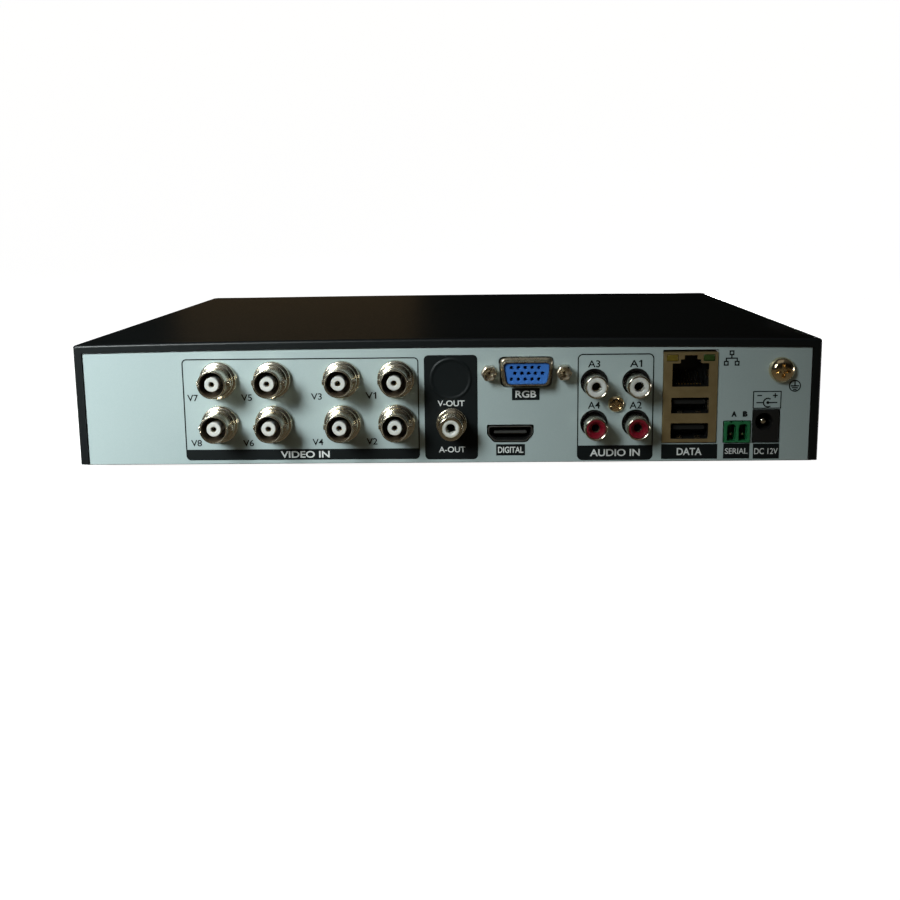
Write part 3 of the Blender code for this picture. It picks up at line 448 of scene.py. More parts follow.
def panel_film():
    """The rear panel's printed film: pale silver blue, with a fine even grain."""
    n = Nodes("panel_film")
    cloud = n.noise(70.0, 2.0)
    grain = n.noise(0.22, 2.0)
    colour = n.mixed(n.ranged(cloud, 0.0, 1.0), (0.385, 0.475, 0.480), (0.425, 0.515, 0.515))
    colour = n.mixed(n.ranged(grain, 0.0, 0.16), colour, (0.66, 0.72, 0.72))
    rough = n.ranged(grain, 0.34, 0.46)
    return n.set(Base_Color=colour, Roughness=rough, Metallic=0.15, Normal=n.bump(grain, 0.004, 0.4))


def moulded(name, colour, rough=0.5, grain=0.02, size=0.3, level=0.4):
    """Moulded plastic: a spark-eroded grain, slight flow marks and slightly uneven gloss."""
    n = Nodes(name)
    flow = n.noise(28.0, 2.0)
    texture = n.noise(size, 3.0, 0.6)
    shade = n.mixed(n.ranged(flow, 0.0, 1.0), tinted(colour, 0.9), tinted(colour, 1.12))
    gloss = n.ranged(texture, rough - 0.06, rough + 0.06)
    normal = n.bump(texture, grain, 0.5)
    return n.set(Base_Color=shade, Roughness=gloss, Normal=normal, Specular_IOR_Level=level)


def plated(name, colour, rough=0.17, dull=0.27):
    """Bright plating on turned metal: fine lathe lines, and duller, darker patches where it has aged."""
    n = Nodes(name)
    lines = n.noise(0.12, 2.0, 0.5, (0.1, 1.0, 0.1))
    age = n.noise(1.6, 4.0, 0.6)
    patches = n.ranged(age, 0.0, 1.0, 0.45, 0.7)
    shade = n.mixed(patches, colour, tinted(colour, 0.88))
    gloss = n.ranged(age, rough, dull, 0.4, 0.75)
    normal = n.bump(lines, 0.0012, 0.2, n.bump(age, 0.001, 0.15))
    return n.set(Base_Color=shade, Roughness=gloss, Metallic=1.0, Normal=normal)


def folded_tin():
    """The socket shield's tinned sheet: tan, satin, with fine rolled lines."""
    n = Nodes("folded_tin")
    lines = n.noise(0.15, 3.0, 0.6, (0.05, 1.0, 1.0))
    patches = n.noise(5.0, 3.0)
    colour = n.mixed(n.ranged(patches, 0.0, 1.0), (0.34, 0.25, 0.12), (0.42, 0.32, 0.165))
    rough = n.ranged(lines, 0.32, 0.46)
    return n.set(Base_Color=colour, Roughness=rough, Metallic=0.75, Normal=n.bump(lines, 0.004, 0.5))


def translucent(name, colour, rough=0.35):
    """A lamp's or insulator's plastic, which light enters a little way."""
    n = Nodes(name)
    cloud = n.noise(1.2, 2.0)
    shade = n.mixed(n.ranged(cloud, 0.0, 1.0), tinted(colour, 0.93), colour)
    material = n.set(Base_Color=shade, Roughness=n.ranged(cloud, rough - 0.05, rough + 0.05))
    n.shader.inputs["Subsurface Weight"].default_value = 0.25
    n.shader.inputs["Subsurface Radius"].default_value = (0.0012, 0.0010, 0.0008)
    n.shader.inputs["Subsurface Scale"].default_value = 0.5
    return material


def ink(name, colour):
    """Screen-printed ink: slightly uneven cover and a faint pebble."""
    n = Nodes(name)
    cover = n.noise(0.35, 3.0)
    shade = n.mixed(n.ranged(cover, 0.0, 1.0), tinted(colour, 0.86), colour)
    gloss = n.ranged(cover, 0.40, 0.53)
    return n.set(Base_Color=shade, Roughness=gloss, Normal=n.bump(cover, 0.004, 0.4), Specular_IOR_Level=0.2)


def circuit():
    """Green solder mask over faint copper tracks."""
    n = Nodes("circuit")
    tracks = n.cells(1.6, "DISTANCE_TO_EDGE")
    lines = n.ranged(tracks, 1.0, 0.0, 0.02, 0.06)
    colour = n.mixed(lines, (0.010, 0.085, 0.035), (0.022, 0.16, 0.06))
    return n.set(Base_Color=colour, Roughness=n.ranged(tracks, 0.28, 0.38), Normal=n.bump(lines, 0.03, 0.6))


def rubber():
    n = Nodes("soft_rubber")
    texture = n.noise(0.4, 4.0, 0.7)
    colour = n.mixed(n.ranged(n.noise(6.0), 0.0, 1.0), (0.012, 0.012, 0.012), (0.022, 0.021, 0.020))
    return n.set(Base_Color=colour, Roughness=n.ranged(texture, 0.72, 0.9), Normal=n.bump(texture, 0.03, 0.7))


# Colour, roughness, grain depth, grain size and specular level
MOULDED = {
    "bezel_plastic": ((0.0105, 0.0125, 0.012), 0.44, 0.012, 0.35, 0.45),
    "key_plastic": ((0.0125, 0.015, 0.0145), 0.38, 0.008, 0.4, 0.5),
    "window_film": ((0.011, 0.0135, 0.013), 0.36, 0.005, 0.6, 0.5),
    "lamp_film": ((0.032, 0.036, 0.034), 0.3, 0.004, 0.6, 0.5),
    "infrared_film": ((0.016, 0.0085, 0.0095), 0.22, 0.003, 0.6, 0.5),
    "socket_plastic": ((0.008, 0.008, 0.008), 0.45, 0.01, 0.25, 0.4),
    "blue_plastic": ((0.040, 0.17, 0.56), 0.42, 0.006, 0.3, 0.45),
    "green_plastic": ((0.014, 0.15, 0.052), 0.42, 0.006, 0.3, 0.45),
    # Near black: painted shade, for dark pieces put at the bottoms of holes and inside cavities
    "dark_cavity": ((0.003, 0.003, 0.003), 0.7, 0.01, 0.3, 0.2),
    # A lit brown: painted light for the inside of the video jacks' bores
    "brown_shade": ((0.085, 0.062, 0.038), 0.5, 0.01, 0.3, 0.3),
    "tongue_plastic": ((0.045, 0.045, 0.042), 0.45, 0.01, 0.3, 0.4),
    "red_cable": ((0.40, 0.03, 0.025), 0.45),
    "grey_cable": ((0.42, 0.42, 0.42), 0.5),
}
# Colour, and roughness where it is bright and where it is dull
PLATED = {
    "nickel": ((0.70, 0.64, 0.52),),
    "worn_nickel": ((0.60, 0.52, 0.40), 0.24, 0.42),
    "dull_steel": ((0.32, 0.31, 0.29), 0.3, 0.5),
    "aged_brass": ((0.30, 0.22, 0.12), 0.3, 0.5),
    "bright_tin": ((0.75, 0.66, 0.50), 0.2, 0.35),
    "gold_nickel": ((0.86, 0.70, 0.46), 0.12, 0.28),
    "contact_gold": ((0.90, 0.66, 0.28), 0.2, 0.3),
    "cast_metal": ((0.55, 0.55, 0.56), 0.35, 0.5),
}
# Colour and roughness
TRANSLUCENT = {
    "white_insulator": ((0.66, 0.66, 0.62),),
    "red_insulator": ((0.20, 0.006, 0.016),),
    "yellow_lamp": ((0.15, 0.11, 0.015), 0.15),
    "green_lamp": ((0.03, 0.065, 0.012), 0.15),
    "clear_lamp": ((0.6, 0.6, 0.56), 0.2),
}
INKS = {
    "black_ink": ((0.0045, 0.0068, 0.0074),),
    "white_ink": ((0.74, 0.76, 0.75),),
    "front_ink": ((0.86, 0.87, 0.87),),
}

MATERIALS = {
    "powder_coat": powder_coat(),
    "zinc": zinc(),
    "panel_film": panel_film(),
    "folded_tin": folded_tin(),
    "circuit": circuit(),
    "soft_rubber": rubber(),
}
for make, looks in ((moulded, MOULDED), (plated, PLATED), (translucent, TRANSLUCENT), (ink, INKS)):
    for finish_name, look in looks.items():
        MATERIALS[finish_name] = make(finish_name, *look)

# Material slots whose finish has another name
SLOT_FINISHES = {
    "black_coat": "powder_coat",
    "zinc_sheet": "zinc",
    "panel_print": "panel_film",
    "black_plastic": "socket_plastic",
    "smoked_window": "window_film",
    "rubber": "soft_rubber",
    "lamp": "clear_lamp",
    "tin_shield": "folded_tin",
    "circuit_board": "circuit",
    "aluminium": "cast_metal",
}


def finish_frame_nodes():
    """The CAD nodes whose own shape shows get the finish of their material slot."""
    slots = {part["node"]: part["material_slot"] for part in frame["record"]["subparts"]}
    for name, obj in frame["nodes"].items():
        obj.data.materials.clear()
        obj.data.materials.append(MATERIALS[SLOT_FINISHES.get(slots[name], slots[name])])


# Casing

VENT_COUNT = 14
VENT_START = -20.0
VENT_PITCH = 5.0
VENT_Z = 25.0
VENT_SIZE = (16.0, 2.2)
SCREW_HOLE = 1.9
REAR_EDGE = 0.9
CROWN_REAR = 1.1
CROWN_FRONT = 0.5
BOW_STEPS = 24


def bow(x, crown):
    """How far the lid's top sheet stands up at x, when its middle stands up by crown."""
    return crown * max(0.0, 1 - (x / (COVER_HIGH.x - COVER_BEND)) ** 2)


def bowed_line(half, z, crown):
    """Points from one side to the other at height z, standing up by crown in the middle."""
    xs = [half * (2 * i / BOW_STEPS - 1) for i in range(BOW_STEPS + 1)]
    return [(x, z + bow(x, crown)) for x in xs]


def cover_outline(inset, bend, low, crown):
    """The lid's section: two sides from low up, bends, and the bowed top, drawn in by inset."""
    half, top = COVER_HIGH.x - inset, COVER_HIGH.z - inset
    left = arc(bend, 180, 90, 10, bend - half, top - bend)
    right = arc(bend, 90, 0, 10, half - bend, top - bend)
    return [(-half, low), *left, *bowed_line(half - bend, top, crown)[1:-1], *right, (half, low)]


def cover_shell():
    """The lid: bent sheet with a rounded rear edge, a lip round the panel, and vent slots in both sides."""
    low_z = COVER_LOW.z
    rings = [
        (cover_outline(0.15, COVER_BEND, low_z, CROWN_FRONT), COVER_LOW.y),
        (cover_outline(0.0, COVER_BEND, low_z, CROWN_FRONT), COVER_LOW.y + 0.15),
    ]
    for i in range(9):
        a = math.pi / 2 * i / 8
        inset = REAR_EDGE * (1 - math.cos(a))
        depth = COVER_HIGH.y - REAR_EDGE + REAR_EDGE * math.sin(a)
        rings.append((cover_outline(inset, COVER_BEND, low_z, CROWN_REAR), depth))
    ends = ((COVER_LOW.y - 1.0, CROWN_FRONT), (COVER_HIGH.y - SHEET, CROWN_REAR))
    inner = along_y([(cover_outline(SHEET, COVER_BEND - SHEET, low_z - 1.0, crown), y) for y, crown in ends])
    half = COVER_HIGH.x - LIP_WIDTH
    top = bowed_line(half, COVER_HIGH.z - LIP_WIDTH, CROWN_REAR)
    opening = [(-half, low_z - 1.0), *top, (half, low_z - 1.0)]
    cutters = [prism(opening, COVER_HIGH.y - 4.0, COVER_HIGH.y + 1.0)]
    for side in (-1, 1):
        reach = sorted((side * (COVER_HIGH.x + 2.0), side * (COVER_HIGH.x - 4.0)))
        for i in range(VENT_COUNT):
            y = VENT_START + i * VENT_PITCH
            outline = racetrack(*VENT_SIZE, steps=8)
            cutters.append(lofted([[(d, y + b, VENT_Z + a) for a, b in outline] for d in reach]))
        for end in ("front", "rear"):
            place_of = centre(f"cover_screw_{end}_{'left' if side < 0 else 'right'}")
            hole = circle(SCREW_HOLE, steps=24)
            cutters.append(lofted([[(d, place_of.y + a, place_of.z + b) for a, b in hole] for d in reach]))
    body = cut(along_y(rings), inner, grouped(*cutters))
    add("cover_shell", body, "powder_coat", stands_for=("top_cover",))


def pan_head(name, head, height, shank, finish):
    """A pan-head screw with a cross drive, standing on its origin."""
    profile = [(0.0, -4.0), (shank, -4.0), (shank, 0.0), (head * 0.97, 0.0), (head, 0.12)]
    profile += fillet(head, head * 0.4, 0.22 * height, height * 0.96, 10)
    profile += [(head * 0.25, height * 0.99), (0.0, height)]
    drive = along_y([
        (cross(0.30 * head, 0.10 * head), height * 0.45), (cross(0.62 * head, 0.16 * head), height + 0.3),
    ])
    return mesh_from(cut(turned(profile, 56), drive), name, finish)


def cover_screws():
    mesh = pan_head("cover_screw", 3.0, 1.35, 1.4, "powder_coat")
    for side, word, turn in ((-1, "left", 90), (1, "right", -90)):
        for end in ("front", "rear"):
            node = f"cover_screw_{end}_{word}"
            at = centre(node)
            x = side * (COVER_HIGH.x + 0.05)
            place(f"screw_{end}_{word}", mesh, (x, at.y, at.z), turn, stands_for=(node,))


def rubber_feet():
    """Moulded rubber feet with a rounded rim and a dished underside."""
    for end in ("front", "rear"):
        for side in ("left", "right"):
            node = f"foot_{end}_{side}"
            low, high = corners(node)
            radius, top = (high.x - low.x) / 2, high.z - low.z
            profile = [(0.0, 0.5), (radius * 0.45, 0.45), (radius * 0.6, 0.0), (radius * 0.8, 0.0)]
            profile += [(radius * 0.8 + 0.2 * radius * math.sin(a), 1.0 - math.cos(a))
                        for a in (0.4, 0.8, 1.2, math.pi / 2)]
            profile += [(radius, top), (0.0, top)]
            body = spun(turned(profile, 48), 90, "X")
            at = centre(node)
            add(f"rubber_{node}", body, "soft_rubber", (at.x, at.y, low.z), stands_for=(node,))


# The rear panel's film and its printing

PHONO_HOLE_RISE = 0.5
SPARE_CIRCLE = (2.0, 28.9, 7.0)
BAR_INK = 0.03
PRINT_LINE = 0.4
BUS_ROWS = (-2.9, -11.6)
POWER_BORE = (0.7, 1.5)


def socket_holes(margin):
    """Cut-outs of the film, as outlines in the recorder's X and Z, square ones with a margin round them."""
    round_holes = [(f"video_jack_{i}", 5.2, 0.0, 48) for i in range(1, 9)]
    round_holes += [(f"audio_in_jack_{i}", 4.7, PHONO_HOLE_RISE, 48) for i in range(1, 5)]
    round_holes += [
        ("audio_out_jack", 4.7, 0.0, 48), ("audio_block_screw", 2.0, 0.0, 24), ("ground_screw", 2.3, 0.0, 24),
        ("display_port_screw_left", 2.0, 0.0, 24), ("display_port_screw_right", 2.0, 0.0, 24),
    ]
    holes = []
    for node, radius, rise, steps in round_holes:
        at = centre(node)
        holes.append(circle(radius, at.x, at.z + rise, steps))
    at = centre("display_port_insert")
    holes.append(d_shape(18.8, 10.4, at.x, at.z))
    at = centre("digital_video_socket")
    holes.append(hooded(15.9, 6.2, at.x, at.z))
    for node in ("lan_bus_shield", "serial_terminal", "power_jack"):
        at = centre(node)
        width, height = face_size(node)
        holes.append(rounded(width + 2 * margin, height + 2 * margin, 0.3, at.x, at.z, 2))
    return holes


def rear_film():
    low, high = corners("rear_label")
    outline = [(low.x, low.z), (high.x, low.z), *reversed(bowed_line(high.x, high.z, CROWN_REAR))]
    body = prism(outline, low.y, high.y, socket_holes(0.3))
    add("rear_film", body, "panel_film", stands_for=("rear_label",))


def rear_print(outline, holes=(), lift=0.0):
    """A printed shape on the film, from outlines seen from behind."""
    def flip(loop):
        return [rear(x, z) for x, z in loop]
    start = FILM_Y - 0.02
    return prism(flip(outline), start, FILM_Y + INK + lift, [flip(hole) for hole in holes])


def line_print(points, width, closed=False):
    """A printed line of a width through points seen from behind, as one strip for each straight run."""
    strips = []
    count = len(points) if closed else len(points) - 1
    for i in range(count):
        a, b = Vector(points[i]), Vector(points[(i + 1) % len(points)])
        along = (b - a).normalized() * width / 2
        side = Vector((-along.y, along.x))
        corners_of = [a - along - side, b + along - side, b + along + side, a - along + side]
        strips.append(rear_print([tuple(p) for p in corners_of]))
    return strips


def ring_print(radius, width, x, z):
    return rear_print(circle(radius, x, z, 40), [circle(radius - width, x, z, 40)])


def frame_print(width, height, radius, x, z, line):
    """A printed outline with rounded corners."""
    inner = rounded(width - 2 * line, height - 2 * line, max(0.1, radius - line), x, z)
    return rear_print(rounded(width, height, max(0.15, radius), x, z), [inner])


def group_print(left, right, low, high, radius, bar_top):
    """The frame round a group of sockets, and the solid bar along its foot."""
    border = frame_print(right - left, high - low, radius, (left + right) / 2, (low + high) / 2, PRINT_LINE)
    reach = radius - 0.1
    bar = [(left + 0.1, bar_top), (left + 0.1, low + reach)]
    bar += arc(reach - 0.1, 180, 270, 5, left + reach, low + reach)
    bar += arc(reach - 0.1, 270, 360, 5, right - reach, low + reach)
    bar += [(right - 0.1, bar_top)]
    return [border, rear_print(bar, lift=0.005)]


def lettering(text, x, z, width, height, bold=0.0, at_rear=True, base=None, depth=INK):
    """Plain lettering of a given width and height, centred at a place, as a thin closed solid."""
    curve = bpy.data.curves.new("lettering", "FONT")
    curve.body = text
    curve.resolution_u = 6
    curve.offset = bold
    curve.extrude = 0.5
    held = bpy.data.objects.new("lettering", curve)
    bpy.context.scene.collection.objects.link(held)
    graph = bpy.context.evaluated_depsgraph_get()
    mesh = bpy.data.meshes.new_from_object(held.evaluated_get(graph))
    bm = bmesh.new()
    bm.from_mesh(mesh)
    bpy.data.objects.remove(held)
    bpy.data.curves.remove(curve)
    bpy.data.meshes.remove(mesh)
    bmesh.ops.remove_doubles(bm, verts=bm.verts, dist=1e-5)
    xs = [v.co.x for v in bm.verts]
    ys = [v.co.y for v in bm.verts]
    middle = Vector(((min(xs) + max(xs)) / 2, (min(ys) + max(ys)) / 2, 0.0))
    wide, tall = width / (max(xs) - min(xs)), height / (max(ys) - min(ys))
    way = 1 if at_rear else -1
    surface = (FILM_Y if at_rear else FACE_Y) if base is None else base
    cx, cz = rear(x, z) if at_rear else front(x, z)
    for v in bm.verts:
        a, b, c = (v.co - middle)
        v.co = Vector((cx - way * a * wide, surface + way * (depth / 2 + c * depth), cz + b * tall))
    return bm


def rear_printing():
    """The rear film's print: frames with bars, patches, light words on them, dark marks and signs."""
    black, white = [], []

    def light(text, x, z, width, height, bold):
        white.append(lettering(text, x, z, width, height, bold, base=FILM_Y + BAR_INK))

    def line(*points, closed=False):
        black.extend(line_print(points, PRINT_LINE, closed))

    # VIDEO IN frame, its bar and the jacks' numbers
    black += group_print(-89.0, -8.8, 1.5, 36.4, 1.6, 5.2)
    light("VIDEO IN", -48.1, 3.35, 16.8, 2.35, 0.02)
    numbers = {7: (-85.8, 23.1), 5: (-67.4, 23.1), 3: (-43.6, 23.3), 1: (-25.1, 23.5),
               8: (-85.3, 7.5), 6: (-67.4, 7.4), 4: (-43.6, 7.6), 2: (-25.1, 7.7)}
    black += [lettering(f"V{number}", x, z, 3.7, 2.25, 0.012) for number, (x, z) in numbers.items()]
    # V-OUT and A-OUT patch, with an embossed blank where a jack could be
    at = centre("audio_out_jack")
    black.append(rear_print(rounded(18.0, 35.7, 1.5, 2.0, 19.15), [circle(4.7, -at.x, at.z - BASE_Z)]))
    light("V-OUT", 2.0, 20.6, 9.1, 2.0, 0.012)
    light("A-OUT", 2.2, 4.7, 9.0, 2.0, 0.012)
    # AUDIO IN frame, its bar and the sockets' numbers
    black += group_print(44.6, 70.2, 0.7, 37.0, 1.8, 5.75)
    light("AUDIO IN", 57.45, 3.25, 16.9, 2.5, 0.02)
    numbers = {3: (50.1, 33.6), 1: (64.1, 33.6), 4: (50.2, 19.6), 2: (64.2, 19.5)}
    black += [lettering(f"A{number}", x, z, 4.1, 2.4, 0.012) for number, (x, z) in numbers.items()]
    # The flags of the two ones
    for x, z in ((65.25, 34.25), (-24.15, 24.1)):
        black += line_print([(x, z), (x + 0.7, z + 0.42)], 0.3)
    # Labels under the other sockets: a dark patch's width and height, and its words'
    for text, x, z, patch, words, bold in (
        ("RGB", 27.25, 23.55, (9.3, 4.1), (7.0, 2.4), 0.02),
        ("DIGITAL", 22.1, 4.45, (9.8, 3.9), (8.6, 2.2), 0.02),
        ("DATA", 82.55, 3.45, (18.9, 5.1), (8.4, 2.5), 0.02),
        ("SERIAL", 98.4, 3.5, (8.8, 5.2), (7.6, 2.0), 0.01),
        ("DC 12V", 108.4, 3.4, (8.8, 5.2), (7.9, 2.1), 0.01),
    ):
        black.append(rear_print(rectangle(*patch, x, z)))
        light(text, x, z, *words, bold)
    for text, x, width in (("A", 97.3, 1.8), ("B", 101.0, 1.6)):
        black.append(lettering(text, x, 16.2, width, 1.9, 0.07))
    # The network mark
    for x, z in ((95.9, 36.9), (94.1, 33.4), (97.7, 33.4)):
        line(*rectangle(1.2, 1.2, x, z), closed=True)
    line((95.9, 36.2), (95.9, 35.1))
    line((94.1, 34.1), (94.1, 35.1), (97.7, 35.1), (97.7, 34.1))
    # The earth mark
    black.append(ring_print(2.0, 0.36, 117.2, 25.6))
    line((117.2, 27.0), (117.2, 25.7))
    for half, z in ((1.2, 25.6), (0.8, 24.95), (0.4, 24.3)):
        line((117.2 - half, z), (117.2 + half, z))
    # Polarity box over the power socket: the plug's ring and pin, a minus and a plus
    black.append(frame_print(9.5, 6.0, 0.2, 108.15, 20.95, 0.34))
    black.append(rear_print(circle(0.5, 108.4, 20.0, 16)))
    line(*arc(1.45, 60, 300, 10, 108.4, 20.0))
    for z, runs in ((20.0, ((108.4, 111.4), (104.8, 106.9))), (22.4, ((105.0, 106.2), (110.2, 111.4)))):
        for left, right in runs:
            line((left, z), (right, z))
    line((110.8, 21.8), (110.8, 23.0))
    add("rear_print_black", grouped(*black), "black_ink", sharp=20)
    add("rear_print_white", grouped(*white), "white_ink", sharp=20)


def spare_boss():
    """The film's round swelling over the blanked hole above the audio output."""
    x, z = rear(*SPARE_CIRCLE[:2])
    radius = SPARE_CIRCLE[2]
    profile = [(0.0, 0.10)]
    profile += [(radius + step, rise) for step, rise in (
        (-1.3, 0.10), (-0.9, 0.16), (-0.5, 0.34), (-0.15, 0.30), (0.15, 0.10), (0.3, 0.04), (0.3, 0.0))]
    profile += [(0.0, 0.0)]
    add("spare_boss", turned(profile), "black_ink", (x, FILM_Y, z))


# Rear sockets


def stepped_collar(mouth):
    """A video jack's plated shell: washer, stepped collar, barrel and a deep bore."""
    profile = [(4.3, -1.0), (4.3, 0.02), (6.2, 0.02), (6.3, 0.12), (6.3, 0.8), (6.12, 0.9), (6.12, 1.0)]
    profile += [(6.3, 1.1)]
    profile += fillet(6.3, 5.6, 1.9, 2.45, 5)
    profile += [(5.4, 2.5), (5.4, 2.8)]
    profile += fillet(5.4, 4.7, 2.85, 3.5, 4)
    profile += [(4.7, mouth - 1.35), (4.6, mouth - 1.27), (4.6, mouth - 1.0), (4.7, mouth - 0.92)]
    profile += fillet(4.7, 4.48, mouth - 0.3, mouth, 5)
    profile += [(4.36, mouth - 0.02), (4.22, mouth - 0.2), (4.18, 5.2), (4.0, 4.9), (2.5, 4.9), (2.5, 0.0)]
    return tube(profile, 72)


def lug():
    """One bayonet lug, standing out of the barrel along X, with a rounded rim and a dimpled end."""
    profile = [(0.0, 4.5), (1.0, 4.5), (1.0, 5.5), (0.86, 5.66), (0.5, 5.66), (0.34, 5.45), (0.0, 5.4)]
    rings = []
    for radius, out in profile:
        outline = circle(radius, steps=24) if radius else [(0.0, 0.0)]
        rings.append([(out, a, b) for a, b in outline])
    return lofted(rings)


def video_jacks():
    mouth = corners("video_jack_1")[1].y - FILM_Y
    lug_y = mouth - 4.2
    lugs = [shifted(spun(lug(), degrees, "Z"), 0.0, lug_y, 0.0) for degrees in (0, 180)]
    shell = mesh_from(joined(stepped_collar(mouth), *lugs), "jack_shell", "nickel", 28)
    rim, face = mouth - 0.95, mouth - 0.72
    insulator = tube([(0.9, 1.5), (2.4, 1.5), (2.4, rim), (2.22, face), (1.12, face), (0.9, rim)], 48)
    insulator_mesh = mesh_from(insulator, "jack_insulator", "white_insulator")
    pin = tube([(0.5, 3.0), (0.86, 3.0), (0.86, mouth - 2.1), (0.78, mouth - 1.95), (0.6, mouth - 1.95),
                (0.5, mouth - 2.2)], 32)
    long, thin, depth = (-1.3, 1.3), (-0.11, 0.11), (mouth - 5.0, mouth)
    slots = [box(long, depth, thin), box(thin, depth, long)]
    pin_mesh = mesh_from(cut(pin, *slots), "jack_contact", "aged_brass")
    # The bore's floor and a thin sheet lining its wall are a lit brown: painted light standing in for the lit
    # inside of the bore
    core = turned([(0.0, 1.0), (4.0, 1.0), (4.0, 5.3), (0.0, 5.3)], 32)
    lining = tube([(4.02, 5.25), (4.16, 5.25), (4.16, mouth - 0.5), (4.02, mouth - 0.7)], 64)
    painted_bore_mesh = mesh_from(grouped(core, lining), "jack_painted_bore_light", "brown_shade")
    # A dark rod inside the centre contact: painted shade in the contact's hole
    plug = turned([(0.0, 3.0), (0.92, 3.0), (0.92, mouth - 3.2), (0.0, mouth - 3.2)], 24)
    painted_hole_shade_mesh = mesh_from(plug, "jack_painted_hole_shade", "dark_cavity")
    for i in range(1, 9):
        at = on_film(f"video_jack_{i}")
        place(f"jack_shell_{i}", shell, at, stands_for=(f"video_jack_{i}",))
        place(f"jack_insulator_{i}", insulator_mesh, at)
        place(f"jack_contact_{i}", pin_mesh, at)
        place(f"jack_painted_bore_light_{i}", painted_bore_mesh, at)
        place(f"jack_painted_hole_shade_{i}", painted_hole_shade_mesh, at)


def tube(profile, steps=64):
    """A ring-shaped solid turned about Y from a closed (radius, depth) profile."""
    bm = bmesh.new()
    made = [[bm.verts.new((x, depth, z)) for x, z in circle(r, steps=steps)] for r, depth in profile]
    for k in range(len(made)):
        near, far = made[k - 1], made[k]
        for i in range(steps):
            j = (i + 1) % steps
            bm.faces.new((near[i], near[j], far[j], far[i]))
    bmesh.ops.recalc_face_normals(bm, faces=bm.faces)
    return bm


def phono_shell(mouth, outer, lip, collar=()):
    """A phono socket's barrel, with a rolled mouth turned in to the insulator."""
    profile = [(2.9, -6.0), (3.7, -6.0), *(collar or [(3.7, 0.6), (outer, 0.8)])]
    groove = ((0.0, 1.9), (0.13, 1.78), (0.13, 1.5), (0.0, 1.38))
    profile += [(outer - cut_in, mouth - back) for cut_in, back in groove]
    profile += fillet(outer, outer - 0.42, mouth - 0.45, mouth, 6)
    profile += [(lip + 0.12, mouth - 0.06), (lip, mouth - 0.3), (2.9, mouth - 1.6)]
    return tube(profile)


def phono_insulator(mouth, outer, cone):
    """The insulator in a barrel's mouth: a flat ring that slopes in by cone to the centre hole."""
    inner = outer - 0.02
    if cone:
        way_in = [(outer - 0.6, 0.2), (outer - 0.75, 0.35), (1.75, cone), (1.5, cone + 0.3)]
    else:
        way_in = [(2.1, 0.12), (1.75, 0.3), (1.55, 0.8)]
    rim = [(2.88, 1.6), (inner, 0.45), (inner, 0.3), (outer - 0.2, 0.12), *way_in]
    profile = [(way_in[-1][0], 0.0), (2.88, 0.0), *[(radius, mouth - back) for radius, back in rim]]
    return tube(profile, 56)


def phono_sockets():
    mouth = corners("audio_in_jack_1")[1].y - FILM_Y
    insulator = {
        "white": mesh_from(phono_insulator(mouth, 3.2, 0.0), "phono_insulator_white", "white_insulator"),
        "red": mesh_from(phono_insulator(mouth, 3.2, 1.6), "phono_insulator_red", "red_insulator"),
    }
    # A dark rod in the middle of each socket: painted shade in its centre hole
    bottom = turned([(0.0, 0.5), (1.6, 0.5), (1.6, 4.5), (0.0, 4.5)], 32)
    phono_hole_shade_mesh = mesh_from(bottom, "phono_bottom", "dark_cavity")
    tip, edge = mouth - 3.0, mouth - 2.9
    contact = tube([(1.30, 2.0), (1.48, 2.0), (1.48, tip), (1.40, edge), (1.30, tip)], 40)
    contact_mesh = mesh_from(contact, "phono_contact", "aged_brass")

    def fit_out(name, number, node, shell, ring):
        spot = on_film(node)
        place(f"{name}_shell{number}", shell, spot, stands_for=(node,))
        place(f"{name}_insulator{number}", ring, spot)
        place(f"{name}_contact{number}", contact_mesh, spot)
        place(f"{name}_bottom{number}", phono_hole_shade_mesh, spot)

    shell = mesh_from(phono_shell(mouth, 3.85, 3.2), "phono_shell", "nickel", 28)
    for i in range(1, 5):
        fit_out("phono", f"_{i}", f"audio_in_jack_{i}", shell, insulator["white" if i in (1, 3) else "red"])
    far = corners("audio_out_jack")[1].y - FILM_Y
    collar = [(3.7, 0.02), (5.2, 0.02), (5.3, 0.15), (5.3, 0.8)]
    collar += fillet(5.3, 4.7, 0.8, 1.5, 5)
    collar += [(4.5, 1.7), (4.5, 2.1), (4.1, 2.4)]
    shell = mesh_from(phono_shell(far, 4.1, 2.8, collar), "phono_out_shell", "nickel", 28)
    white = mesh_from(phono_insulator(far, 2.8, 0.0), "phono_out_insulator", "white_insulator")
    fit_out("phono_out", "", "audio_out_jack", shell, white)


def rear_screws():
    """The audio block's fixing screw and the earth screw, both yellowish plated pan heads."""
    for node, head, height in (("audio_block_screw", 2.8, 1.75), ("ground_screw", 4.3, 3.4)):
        at = centre(node)
        mesh = pan_head(f"{node}_head", head, height, 1.4, "gold_nickel")
        place(f"{node}_head", mesh, (at.x, FILM_Y + 0.02, at.z), stands_for=(node,))


